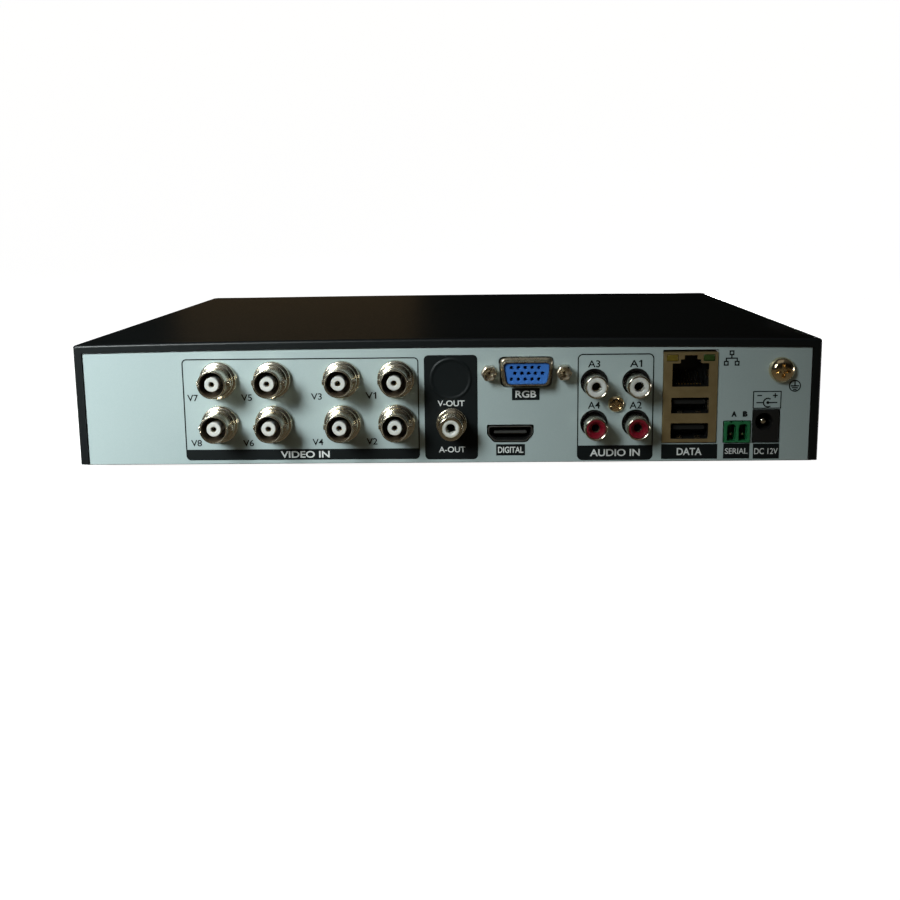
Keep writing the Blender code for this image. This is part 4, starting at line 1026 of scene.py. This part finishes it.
def display_port():
    """The analogue display socket: drawn shell with a flared root, and an insert with fifteen contact holes."""
    spot = on_film("display_port_insert")
    sections = ((18.2, 9.8, 2.4, -1.5), (18.2, 9.8, 2.4, 0.2), (17.8, 9.4, 2.3, 0.55), (17.0, 8.6, 2.1, 0.8),
                (16.7, 8.3, 2.0, 1.2), (16.7, 8.3, 2.0, 4.6), (16.5, 8.1, 1.95, 4.85), (16.2, 7.8, 1.9, 4.9))
    shell = along_y([(d_shape(wide, tall, taper=1.0, corner=edge), y) for wide, tall, edge, y in sections])
    shell = cut(shell, prism(d_shape(15.7, 7.3, taper=1.0, corner=1.7), -3.0, 6.0))
    add("display_shell", shell, "worn_nickel", spot, stands_for=("display_port_shell",))
    outline = d_shape(15.6, 7.2, taper=1.0, corner=1.7)
    insert = bevelled(outline, -2.5, 3.75, d_shape(15.2, 6.8, taper=1.0, corner=1.6), 3.95)
    holes = []
    for z, shift in ((1.95, -0.45), (0.0, 0.7), (-1.95, -0.45)):
        for i in range(5):
            x = -((i - 2) * 2.29 + shift)
            holes.append(bevelled(circle(0.55, x, z, 16), 1.0, 3.75, circle(0.8, x, z, 16), 4.1))
    insert = cut(insert, grouped(*holes))
    add("display_insert", insert, "blue_plastic", spot, stands_for=("display_port_insert",))
    # A dark plate behind the insert's holes: painted shade at their bottoms
    back = prism(d_shape(15.0, 6.6, taper=1.0), 0.6, 1.1)
    add("display_painted_hole_shade", back, "dark_cavity", spot)
    for side in ("left", "right"):
        node = f"display_port_screw_{side}"
        hexagon = softened(circle(2.75, steps=6), 0.25, 2)
        small = [(x * 0.93, z * 0.93) for x, z in hexagon]
        rings = [(1.5, -2.0), (1.5, 0.02), (small, 0.02), (hexagon, 0.3), (hexagon, 4.35), (small, 4.75),
                 (2.1, 4.85), (1.5, 4.3), (1.4, 4.1), (1.4, 0.8), (0.05, 0.5)]
        body = along_y([
            (circle(ring, steps=len(hexagon)) if isinstance(ring, float) else ring, y) for ring, y in rings
        ])
        name = f"display_standoff_{side}"
        add(name, body, "worn_nickel", on_film(node), stands_for=(node,))


def digital_port():
    """The flat digital socket: a thin folded shell round a cavity lined with painted shade, with a contact
    tongue in it.
    """
    spot = on_film("digital_video_socket")
    shell = bevelled(hooded(15.0, 5.3), -8.0, 0.35, hooded(14.8, 5.1), 0.55)
    shell = cut(shell, bevelled(hooded(14.3, 4.6), -7.0, 0.2, hooded(14.5, 4.8), 0.7))
    add("digital_shell", shell, "dull_steel", spot, stands_for=("digital_video_socket",))
    # A dark sleeve inside the shell: painted shade in the cavity
    lining = cut(prism(hooded(14.3, 4.6), -7.0, -0.6), prism(hooded(13.6, 3.9), -6.4, 0.5))
    add("digital_painted_cavity_shade", lining, "dark_cavity", spot)
    tip = rounded(10.9, 0.6, 0.15, 0.0, 0.3, 3)
    tongue = bevelled(rounded(11.2, 0.9, 0.2, 0.0, 0.3, 3), -6.6, -1.2, tip, -0.9)
    add("digital_tongue", tongue, "tongue_plastic", spot)
    strips = [box((-5.0 + 0.56 * i, -4.72 + 0.56 * i), (-5.5, -1.5), (-0.22, -0.13)) for i in range(18)]
    add("digital_contacts", grouped(*strips), "contact_gold", spot)


STACK_FACE = 0.62
STACK_LAMP_X = 6.1
STACK_LAMP_Z = 13.2
TERMINAL_WAYS = (-1.95, 1.95)


def lan_outline(margin=0.0):
    """Half the network socket's stepped opening, mirrored."""
    half = [(6.1, 3.5), (6.1, 11.4), (3.4, 11.4), (3.4, 12.7), (2.1, 12.7), (2.1, 14.1)]
    wide = [(x + margin, z + (margin if z > 4 else -margin)) for x, z in half]
    return [(x, z) for x, z in wide] + [(-x, z) for x, z in reversed(wide)]


def swept(path, outline):
    """A strip that carries an (x, z) outline along a path of places."""
    return lofted([[(x + a, y, z + b) for a, b in outline] for x, y, z in path])


def lan_and_bus():
    """The network socket over two bus sockets: folded shield, moulded core, lamps and contacts."""
    width, height = face_size("lan_bus_shield")
    spot = on_film("lan_bus_shield")
    face = STACK_FACE
    outline = rounded(width + 0.4, height - 0.4, 0.4, 0.0, -0.2, 3)
    edge = rounded(width + 0.1, height - 0.7, 0.4, 0.0, -0.2, 3)
    shield = bevelled(outline, -17.0, face - 0.25, edge, face)
    windows = [softened(lan_outline(), 0.25, 2)]
    windows += [rounded(12.6, 5.4, 0.35, 0.0, z, 3) for z in BUS_ROWS]
    windows += [rounded(3.9, 2.3, 0.2, x, STACK_LAMP_Z, 2) for x in (-STACK_LAMP_X, STACK_LAMP_X)]
    windows = [prism(outline, face - 3.0, face + 1.0) for outline in windows]
    seams = [box((-width, width), (face - 0.1, face + 1.0), (z - 0.06, z + 0.06)) for z in (1.9, -7.1)]
    hollow = prism(rectangle(width - 0.2, height - 1.0, 0.0, -0.2), -18.0, face - 0.35)
    shield = cut(shield, hollow, grouped(*windows), grouped(*seams))
    add("stack_shield", shield, "folded_tin", spot, stands_for=("lan_bus_shield",))
    front_y = face - 0.4
    core = prism(rectangle(width - 0.3, height - 1.1, 0.0, -0.2), -16.0, front_y)
    cavities = [prism(lan_outline(0.05), front_y - 12.0, front_y + 1.0)]
    cavities += [prism(rounded(12.7, 5.5, 0.3, 0.0, z, 2), front_y - 9.5, front_y + 1.0) for z in BUS_ROWS]
    core = cut(core, grouped(*cavities))
    add("stack_core", core, "socket_plastic", spot, stands_for=("lan_bus_insert",))
    for x, word in ((STACK_LAMP_X, "yellow"), (-STACK_LAMP_X, "green")):
        outline, tip = (rounded(*size, x, STACK_LAMP_Z, 3) for size in ((3.7, 2.1, 0.25), (3.3, 1.7, 0.2)))
        lamp = bevelled(outline, front_y - 0.3, face - 0.15, tip, face + 0.02)
        add(f"stack_lamp_{word}", lamp, f"{word}_lamp", spot)
    stack_contacts(front_y, spot)


def stack_contacts(front_y, spot):
    """The network socket's wires, the bus sockets' tongues and strips, and the springs in all three."""
    wires = []
    for i in range(8):
        x = (i - 3.5) * 1.02
        path = [(x, front_y - back, z) for back, z in ((1.5, 4.2), (3.0, 4.4), (9.0, 7.6), (11.0, 7.8))]
        wires.append(swept(path, rectangle(0.32, 0.22)))
    add("network_contacts", grouped(*wires), "contact_gold", spot)
    tongues, strips = [], []
    for z in BUS_ROWS:
        outline, tip = (rounded(*size, 0.2, 0.0, z + 1.0, 2) for size in ((11.1, 1.8), (10.8, 1.4)))
        tongues.append(bevelled(outline, front_y - 9.7, front_y - 1.9, tip, front_y - 1.6))
        for x in (-3.5, -1.0, 1.0, 3.5):
            strips.append(box((x - 0.5, x + 0.5), (front_y - 8.5, front_y - 2.6), (z, z + 0.14)))
    add("bus_tongues", grouped(*tongues), "socket_plastic", spot)
    add("bus_contacts", grouped(*strips), "contact_gold", spot)
    springs = []
    for row in BUS_ROWS:
        for x in (-3.1, 3.1):
            for side in (-1, 1):
                edge = row + side * 2.47
                bends = ((1.2, 0.0), (2.8, 0.4), (5.0, 0.1))
                path = [(x, front_y - back, edge - side * inward) for back, inward in bends]
                springs.append(swept(path, rectangle(1.7, 0.16)))
    for x, z, tall in ((6.0, 7.9, 2.6), (6.15, BUS_ROWS[0], 3.4)):
        for side in (-1, 1):
            bends = ((0.5, 0.0), (1.4, 0.35), (4.0, 0.175))
            path = [(side * (x - inward), front_y - back, z) for back, inward in bends]
            springs.append(swept(path, rectangle(0.14, tall)))
    add("bus_springs", grouped(*springs), "bright_tin", spot)


def terminal():
    """The green two-way terminal: chambers with a keyed edge, and a square pin in each."""
    width, height = face_size("serial_terminal")
    spot = on_film("serial_terminal")
    tip = rounded(width - 0.3, height - 0.3, 0.25, steps=2)
    body = bevelled(rounded(width, height, 0.25, steps=2), -8.0, 0.55, tip, 0.7)
    chambers, notches, pins = [], [], []
    for x in TERMINAL_WAYS:
        half = [(1.5, -3.0), (1.5, 2.0), (0.9, 2.7)]
        outline = [(x - 1.5, -3.0), *[(x + a, z) for a, z in half], (x - 0.9, 2.7), (x - 1.5, 2.0)]
        chambers.append(prism(outline, -6.0, 3.0))
        notches.append(box((x - 0.35, x + 0.35), (-1.2, 3.0), (height / 2 - 0.5, height)))
        size, tip = rounded(0.9, 0.9, 0.12, x, -0.9, 2), rounded(0.45, 0.45, 0.1, x, -0.9, 2)
        pins.append(bevelled(size, -6.5, -1.1, tip, -0.75))
    body = cut(body, grouped(*chambers), grouped(*notches))
    add("terminal_body", body, "green_plastic", spot, stands_for=("serial_terminal",))
    add("terminal_pins", grouped(*pins), "nickel", spot)


def power_inlet():
    """The barrel power socket: a black block with a stepped round bore and a bright centre pin."""
    width, height = face_size("power_jack")
    spot = on_film("power_jack")
    tip = rounded(width - 0.4, height - 0.4, 0.4, steps=3)
    body = bevelled(rounded(width, height, 0.4, steps=3), -12.0, -0.2, tip, 0.0)
    bore = turned([(0.0, -9.0), (2.75, -9.0), (2.75, -0.8), (2.85, -0.5), (3.1, 0.3), (0.0, 0.3)], 48)
    x, z = POWER_BORE
    body = cut(body, shifted(bore, x, 0.0, z))
    add("power_body", body, "socket_plastic", spot, stands_for=("power_jack",))
    pin = turned([(0.0, -9.0), (1.0, -9.0), (1.0, -1.7), (0.85, -1.3), (0.5, -1.1), (0.0, -1.05)], 32)
    add("power_pin", shifted(pin, x, 0.0, z), "nickel", spot)


# Front moulding, window and keys

GROOVE_CENTRE_X = -65.9
GROOVE_RADIUS = 16.7
BEZEL_ROUND = 2.0
PAD_RADIUS = 14.0
PAD_RING = (4.4, 5.75)
PAD_RIB = 1.2
RECESS = 1.8
FACE_TOP = 41.6
BEZEL_DEPTH = 20.0
BEZEL_WALL = 2.6
KEY_WIDTH = 11.2
KEY_HEIGHT = 6.0
KEY_GAP = 0.35


def edge_inset(radius, depth):
    """How far a rounded edge is drawn in at a depth behind the face."""
    return 0.0 if depth >= radius else radius - math.sqrt(radius**2 - (radius - depth) ** 2)


def bezel_ring(depth, inset=0.0):
    """The bezel's outline at a depth: its top slopes up from the face to the lid."""
    half = BEZEL_HIGH.x - edge_inset(1.5, depth) - inset
    low = BEZEL_LOW.z + edge_inset(1.0, depth) + inset
    rise = (COVER_HIGH.z - FACE_TOP) * max(0.0, min(1.0, (depth - BEZEL_ROUND) / (BEZEL_DEPTH - 3.5)))
    high = FACE_TOP + rise - edge_inset(BEZEL_ROUND, depth) - inset
    return rounded(2 * half, high - low, 2.5 - min(inset, 1.5), 0.0, (low + high) / 2, 8)


def flared(outline_at, depth, lip=0.35):
    """A cutter for an opening with a rounded edge. outline_at gives its outline, grown by a margin."""
    rings = [(outline_at(lip + 0.2), FACE_Y - 0.5), (outline_at(lip), FACE_Y - 0.001)]
    for i in range(1, 5):
        a = math.pi / 2 * i / 4
        rings.append((outline_at(lip * (1 - math.sin(a))), FACE_Y + lip * (1 - math.cos(a))))
    rings.append((outline_at(0.0), FACE_Y + depth))
    return along_y(rings)


def groove_solid():
    """The channel along the top, round the left end and back: a band, closed across at its ends."""
    x, z = GROOVE_CENTRE_X, centre("display_lens").z
    end = BEZEL_HIGH.x + 2.0
    bm = bmesh.new()
    made = []
    for half, depth in ((1.15, -0.5), (0.75, -0.001), (0.55, 0.12), (0.42, 0.42), (0.3, 0.5)):
        outer, inner = GROOVE_RADIUS + half, GROOVE_RADIUS - half
        way_out = [(end, z + outer), *arc(outer, 90, 270, 48, x, z), (end, z - outer)]
        way_back = [(end, z - inner), *arc(inner, 270, 90, 48, x, z), (end, z + inner)]
        made.append([bm.verts.new((a, FACE_Y + depth, b)) for a, b in way_out + way_back])
    for near, far in zip(made, made[1:]):
        for i in range(len(near)):
            j = (i + 1) % len(near)
            bm.faces.new((near[i], near[j], far[j], far[i]))
    for ring in (made[0], made[-1]):
        half = len(ring) // 2
        for i in range(half - 1):
            bm.faces.new((ring[i], ring[i + 1], ring[-2 - i], ring[-1 - i]))
    bmesh.ops.recalc_face_normals(bm, faces=bm.faces)
    return bm


def key_outline(grow, x=0.0, z=0.0):
    """A small key's outline, grown by a margin all round."""
    return racetrack(KEY_WIDTH + 2 * grow, KEY_HEIGHT + 2 * grow, x, z)


def pad_dish():
    """A cutter for the dish round the direction keys, with a rounded rim."""
    inner = PAD_RING[1]
    turns = (0.0, 0.4, 0.8, 1.2, 1.57)
    rim = [(PAD_RADIUS + 0.5 * (1 - math.cos(a)), 0.5 - 0.5 * math.sin(a)) for a in turns]
    profile = [(inner, 1.2), (PAD_RADIUS, 1.2), *rim, (PAD_RADIUS + 0.7, -0.6), (inner - 0.5, -0.6),
               (inner - 0.35, 0.05), (inner - 0.1, 0.15)]
    return tube([(radius, FACE_Y + depth) for radius, depth in profile], 96)


def bezel():
    """The front moulding, with its hollow back, groove, window recess and key openings."""
    depths = [BEZEL_ROUND * (1 - math.cos(math.pi / 2 * i / 10)) for i in range(11)]
    depths += [4.0, 8.0, 12.0, 16.0, BEZEL_DEPTH - 1.5, BEZEL_DEPTH - 0.25]
    rings = [(bezel_ring(depth), FACE_Y + depth) for depth in depths]
    rings.append((bezel_ring(BEZEL_DEPTH, 0.2), FACE_Y + BEZEL_DEPTH))
    inside = (BEZEL_WALL, BEZEL_DEPTH - 1.5, BEZEL_DEPTH + 1.0)
    hollow = along_y([(bezel_ring(depth, 2.2), FACE_Y + depth) for depth in inside])
    at = centre("display_lens")
    long, tall = face_size("display_lens")
    long, tall = long + 0.8, tall + 0.8
    recess = flared(lambda grow: racetrack(long + 2 * grow, tall + 2 * grow, at.x, at.z, 24), RECESS, 0.5)
    through = BEZEL_WALL + 1.0
    cutters = []
    for node in ("esc_key", "menu_key"):
        spot = centre(node)
        cutters.append(flared(lambda grow: key_outline(KEY_GAP + grow, spot.x, spot.z), through))
    pad = centre("ok_key")
    cutters.append(flared(lambda grow: circle(PAD_RING[0] + grow * 0.6, pad.x, pad.z, 64), through))
    for turn in range(4):
        opening = prism(sector(PAD_RING[1], PAD_RADIUS, PAD_RIB / 2), FACE_Y - 1.0, FACE_Y + through)
        cutters.append(shifted(spun(opening, 90 * turn), pad.x, 0.0, pad.z))
    dish = shifted(pad_dish(), pad.x, 0.0, pad.z)
    body = cut(along_y(rings), hollow, recess, groove_solid(), grouped(*cutters), dish)
    add("bezel", body, "bezel_plastic", stands_for=("front_bezel",), sharp=30)


def window():
    """The window film in its recess, with its lamp and remote-control windows. Gives its face's Y."""
    at = centre("display_lens")
    long, tall = face_size("display_lens")
    top = WINDOW_LOW.y + 0.1
    steps = ((0.0, WINDOW_HIGH.y), (0.0, top + 0.2), (0.2, top + 0.06), (0.5, top))
    body = along_y([(racetrack(long - less, tall - less, at.x, at.z, 24), y) for less, y in steps])
    add("window_plate", body, "window_film", stands_for=("display_lens",))

    def disc(node, radius, steps):
        profile = [(0.0, 0.05), (radius, 0.05), (radius, -0.03), (radius - 0.15, -0.06), (0.0, -0.07)]
        return shifted(turned(profile, steps), centre(node).x, top, at.z)

    lamps = [disc(node, 1.75, 40) for node in ("alarm_led", "rec_led", "power_led")]
    add("lamp_windows", grouped(*lamps), "lamp_film")
    add("infrared_window", disc("ir_receiver", 2.6, 48), "infrared_film")
    return top


def front_printing(window_face):
    """The words on the bezel and on the window, and the line under the window's title."""
    words = (
        ("DVR", -104.0, -0.55, 15.2, 5.6, 0.035, FACE_Y),
        ("DIGITAL VIDEO RECORDER", -35.9, 0.35, 63.0, 2.45, 0.012, window_face),
        ("IR", 20.4, 0.1, 2.5, 2.6, 0.0, window_face),
        ("ALARM", 32.6, 0.1, 4.9, 1.2, 0.0, window_face),
        ("REC", 44.0, 0.1, 2.9, 1.2, 0.0, window_face),
        ("POWER", 53.2, 0.1, 4.9, 1.2, 0.0, window_face),
        ("ESC", 64.9, 11.6, 5.6, 2.2, 0.025, FACE_Y),
        ("MENU", 63.9, -10.1, 7.8, 2.2, 0.025, FACE_Y),
    )
    white = [lettering(*word[:-1], at_rear=False, base=word[-1]) for word in words]
    start, z = front(-67.4, -2.0)
    end = front(-4.3, -2.0)[0]
    white.append(box((start, end), (window_face - INK, window_face + 0.02), (z - 0.18, z + 0.18)))
    add("front_print", grouped(*white), "front_ink", sharp=20)


def rounded_rings(outline_at, top, round_radius, crown):
    """A key's top rings: slightly crowned, and rolled over into the sides. outline_at takes an inset."""
    rings = [(outline_at(round_radius + 0.9), top), (outline_at(round_radius + 0.3), top + crown * 0.25)]
    for i in range(7):
        a = math.pi / 2 * i / 6
        inset = round_radius * (1 - math.sin(a))
        rings.append((outline_at(inset), top + crown * 0.5 + round_radius * (1 - math.cos(a))))
    return rings


def flange(outline, wide):
    """A key's last rings: its side ends behind the bezel's wall, in a flange that keeps it in."""
    return [(outline, BEZEL_WALL + 0.3), (wide, BEZEL_WALL + 0.3), (wide, BEZEL_WALL + 1.0)]


def key_pieces():
    """The caps of the seven keys, and the four direction keys' marks."""
    def cap(node, body, at):
        place_at = (at.x, FACE_Y, at.z)
        add(f"{node}_cap", body, "key_plastic", place_at, node, (node,))

    for node in ("esc_key", "menu_key"):
        proud = corners(node)[0].y - FACE_Y
        rings = rounded_rings(lambda inset: key_outline(-inset), proud, 0.8, 0.2)
        cap(node, along_y(rings + flange(key_outline(0.0), key_outline(0.7))), centre(node))
    pad = centre("ok_key")
    margin = PAD_RIB / 2 + KEY_GAP
    inner, outer = PAD_RING[1] + KEY_GAP, PAD_RADIUS - 0.5
    middle = (inner + outer) / 2 + 0.3
    chevron = [(-1.5, middle - 0.7), (0.0, middle + 0.8), (1.5, middle - 0.7), (1.1, middle - 1.1),
               (0.0, middle), (-1.1, middle - 1.1)]
    for node, turn in (("up_key", 0), ("left_key", -90), ("down_key", 180), ("right_key", 90)):
        proud = corners(node)[0].y - FACE_Y
        rings = rounded_rings(
            lambda inset: sector(inner + inset, outer - inset, margin + inset), proud, 0.7, 0.15
        )
        rings += flange(sector(inner, outer, margin), sector(inner - 0.6, outer + 0.9, margin - 0.4))
        cap(node, spun(along_y(rings), turn), pad)
        mark = spun(prism(chevron, proud - 0.05, proud + 0.4), turn)
        add(f"{node}_mark", mark, "lamp_film", (pad.x, FACE_Y, pad.z), node)
    proud = corners("ok_key")[0].y - FACE_Y
    radius = PAD_RING[0] - KEY_GAP
    crown = ((0.0, 0.35), (radius * 0.35, 0.3), (radius * 0.6, 0.16), (radius * 0.78, 0.02))
    profile = [(r, proud + down) for r, down in crown]
    profile += [(radius - 0.6 * (1 - math.sin(a)), proud + 0.02 + 0.6 * (1 - math.cos(a)))
                for a in (0.2, 0.6, 1.0, 1.57)]
    profile += [*flange(radius, radius + 0.5), (0.0, BEZEL_WALL + 1.0)]
    cap("ok_key", turned(profile), pad)


# Floor, light and camera


FLOOR_STEPS = 96
FLOOR_GLOW = 0.97
# The camera: millimetres from the film's face and the case's bottom, and radians
FOCAL_LENGTH = 48.36
EYE = (-13.17, 403.9, 85.16)
YAW = -0.029
PITCH = 0.197
ROLL = -0.01256


def studio():
    """The floor: a pale disc that curves up into a wall all round, unseen by reflections."""
    bm = bmesh.new()
    rings = []
    sweep = ((0.02, 0.0), (1.2, 0.0), (2.2, 0.0), (2.7, 0.08), (3.1, 0.35), (3.3, 0.9), (3.35, 2.4))
    for radius, height in sweep:
        steps = [2 * math.pi * i / FLOOR_STEPS for i in range(FLOOR_STEPS)]
        rings.append([bm.verts.new((radius * math.cos(a), radius * math.sin(a), height)) for a in steps])
    for near, far in zip(rings, rings[1:]):
        for i in range(FLOOR_STEPS):
            j = (i + 1) % FLOOR_STEPS
            bm.faces.new((near[i], near[j], far[j], far[i]))
    bm.faces.new(rings[0])
    bmesh.ops.recalc_face_normals(bm, faces=bm.faces)
    mesh = bpy.data.meshes.new("floor")
    bm.to_mesh(mesh)
    bm.free()
    mesh.shade_smooth()
    n = Nodes("floor_paper")
    paper = n.noise(30.0, 3.0)
    shade = n.mixed(n.ranged(paper, 0.0, 1.0), (0.78, 0.78, 0.78), (0.82, 0.82, 0.82))
    n.set(Base_Color=shade, Roughness=0.9, Specular_IOR_Level=0.0)
    n.set(Emission_Color=(1.0, 1.0, 1.0), Emission_Strength=FLOOR_GLOW)
    mesh.materials.append(n.material)
    floor = bpy.data.objects.new("floor", mesh)
    floor.visible_glossy = False
    floor.visible_diffuse = False
    bpy.context.scene.collection.objects.link(floor)


def area_light(name, at, target, size, power, colour=(1.0, 1.0, 1.0), spread=180):
    light = bpy.data.lights.new(name, "AREA")
    light.shape = "RECTANGLE"
    light.size, light.size_y = size
    light.energy = power
    light.color = colour
    light.spread = math.radians(spread)
    obj = bpy.data.objects.new(name, light)
    obj.location = at
    obj.rotation_euler = (Vector(target) - Vector(at)).to_track_quat("-Z", "Y").to_euler()
    obj.visible_camera = False
    bpy.context.scene.collection.objects.link(obj)
    return obj


def lighting():
    """A key near the rear panel, a soft overhead, low strips for the front and sides, and a dim room."""
    world = bpy.data.worlds.new("room")
    world.use_nodes = True
    tree = world.node_tree
    background = tree.nodes["Background"]
    direction = tree.nodes.new("ShaderNodeTexCoord")
    split = tree.nodes.new("ShaderNodeSeparateXYZ")
    ramp = tree.nodes.new("ShaderNodeValToRGB")
    height = tree.nodes.new("ShaderNodeMapRange")
    height.inputs["From Min"].default_value = -1.0
    tree.links.new(direction.outputs["Generated"], split.inputs["Vector"])
    tree.links.new(split.outputs["Z"], height.inputs["Value"])
    tree.links.new(height.outputs["Result"], ramp.inputs["Fac"])
    tree.links.new(ramp.outputs["Color"], background.inputs["Color"])
    stops = ramp.color_ramp.elements
    levels = ((0.0, (0.102, 0.086, 0.060)), (0.47, (0.066, 0.053, 0.033)), (0.5, (0.0022, 0.0016, 0.0006)),
              (0.68, (0.0022, 0.0016, 0.0006)), (1.0, (0.06, 0.058, 0.054)))
    while len(stops) < len(levels):
        stops.new(0.5)
    for stop, (position, colour) in zip(stops, levels):
        stop.position, stop.color = position, (*colour, 1.0)
    background.inputs["Strength"].default_value = 1.0
    bpy.context.scene.world = world
    bpy.context.scene.view_settings.view_transform = "Standard"
    area_light("overhead", (0.1, 0.8, 1.4), (0.0, 0.05, 0.0), (1.2, 1.2), 0.8, (1.0, 0.97, 0.9))
    area_light(
        "rear_key", (0.377, 0.613, 0.33), (0.22, 0.113, 0.02), (0.26, 0.26), 1.08, (0.92, 1.0, 1.0), spread=60
    )
    area_light("cover_sheen", (0.22, -1.0, 0.15), (0.09, 0.0, 0.045), (0.3, 0.15), 0.022, (1.0, 0.66, 0.3))
    # Strips below the lid's top, so they light the front and sides and leave no glare on the lid
    area_light("front_strip", (-0.4, -0.6, 0.022), (-0.02, -0.12, 0.02), (0.4, 0.04), 4.2)
    area_light("right_strip", (0.7, -0.1, 0.022), (0.12, 0.0, 0.02), (0.4, 0.04), 2.6)
    area_light("left_strip", (-0.7, 0.0, 0.022), (-0.12, 0.0, 0.02), (0.4, 0.04), 1.2)


def camera():
    """The view from behind and above, square to the rear panel."""
    data = bpy.data.cameras.new("camera")
    data.sensor_width = 36.0
    data.lens = FOCAL_LENGTH
    yaw, pitch, roll = YAW, PITCH, ROLL
    forward = Vector((-math.sin(yaw) * math.cos(pitch), -math.cos(yaw) * math.cos(pitch), -math.sin(pitch)))
    right = Vector((-math.cos(yaw), math.sin(yaw), 0.0))
    up = right.cross(forward)
    rolled_right = right * math.cos(roll) + up * math.sin(roll)
    rolled_up = up * math.cos(roll) - right * math.sin(roll)
    basis = Matrix((rolled_right, rolled_up, -forward)).transposed().to_4x4()
    obj = bpy.data.objects.new("camera", data)
    place_at = (Vector((0.0, FILM_Y, BASE_Z)) + Vector(EYE)) * MM
    obj.matrix_world = Matrix.Translation(place_at) @ basis
    bpy.context.scene.collection.objects.link(obj)
    bpy.context.scene.camera = obj


def main():
    finish_frame_nodes()
    cover_shell()
    cover_screws()
    rubber_feet()
    rear_film()
    rear_printing()
    spare_boss()
    video_jacks()
    phono_sockets()
    rear_screws()
    display_port()
    digital_port()
    lan_and_bus()
    terminal()
    power_inlet()
    bezel()
    front_printing(window())
    key_pieces()
    studio()
    lighting()
    camera()


main()
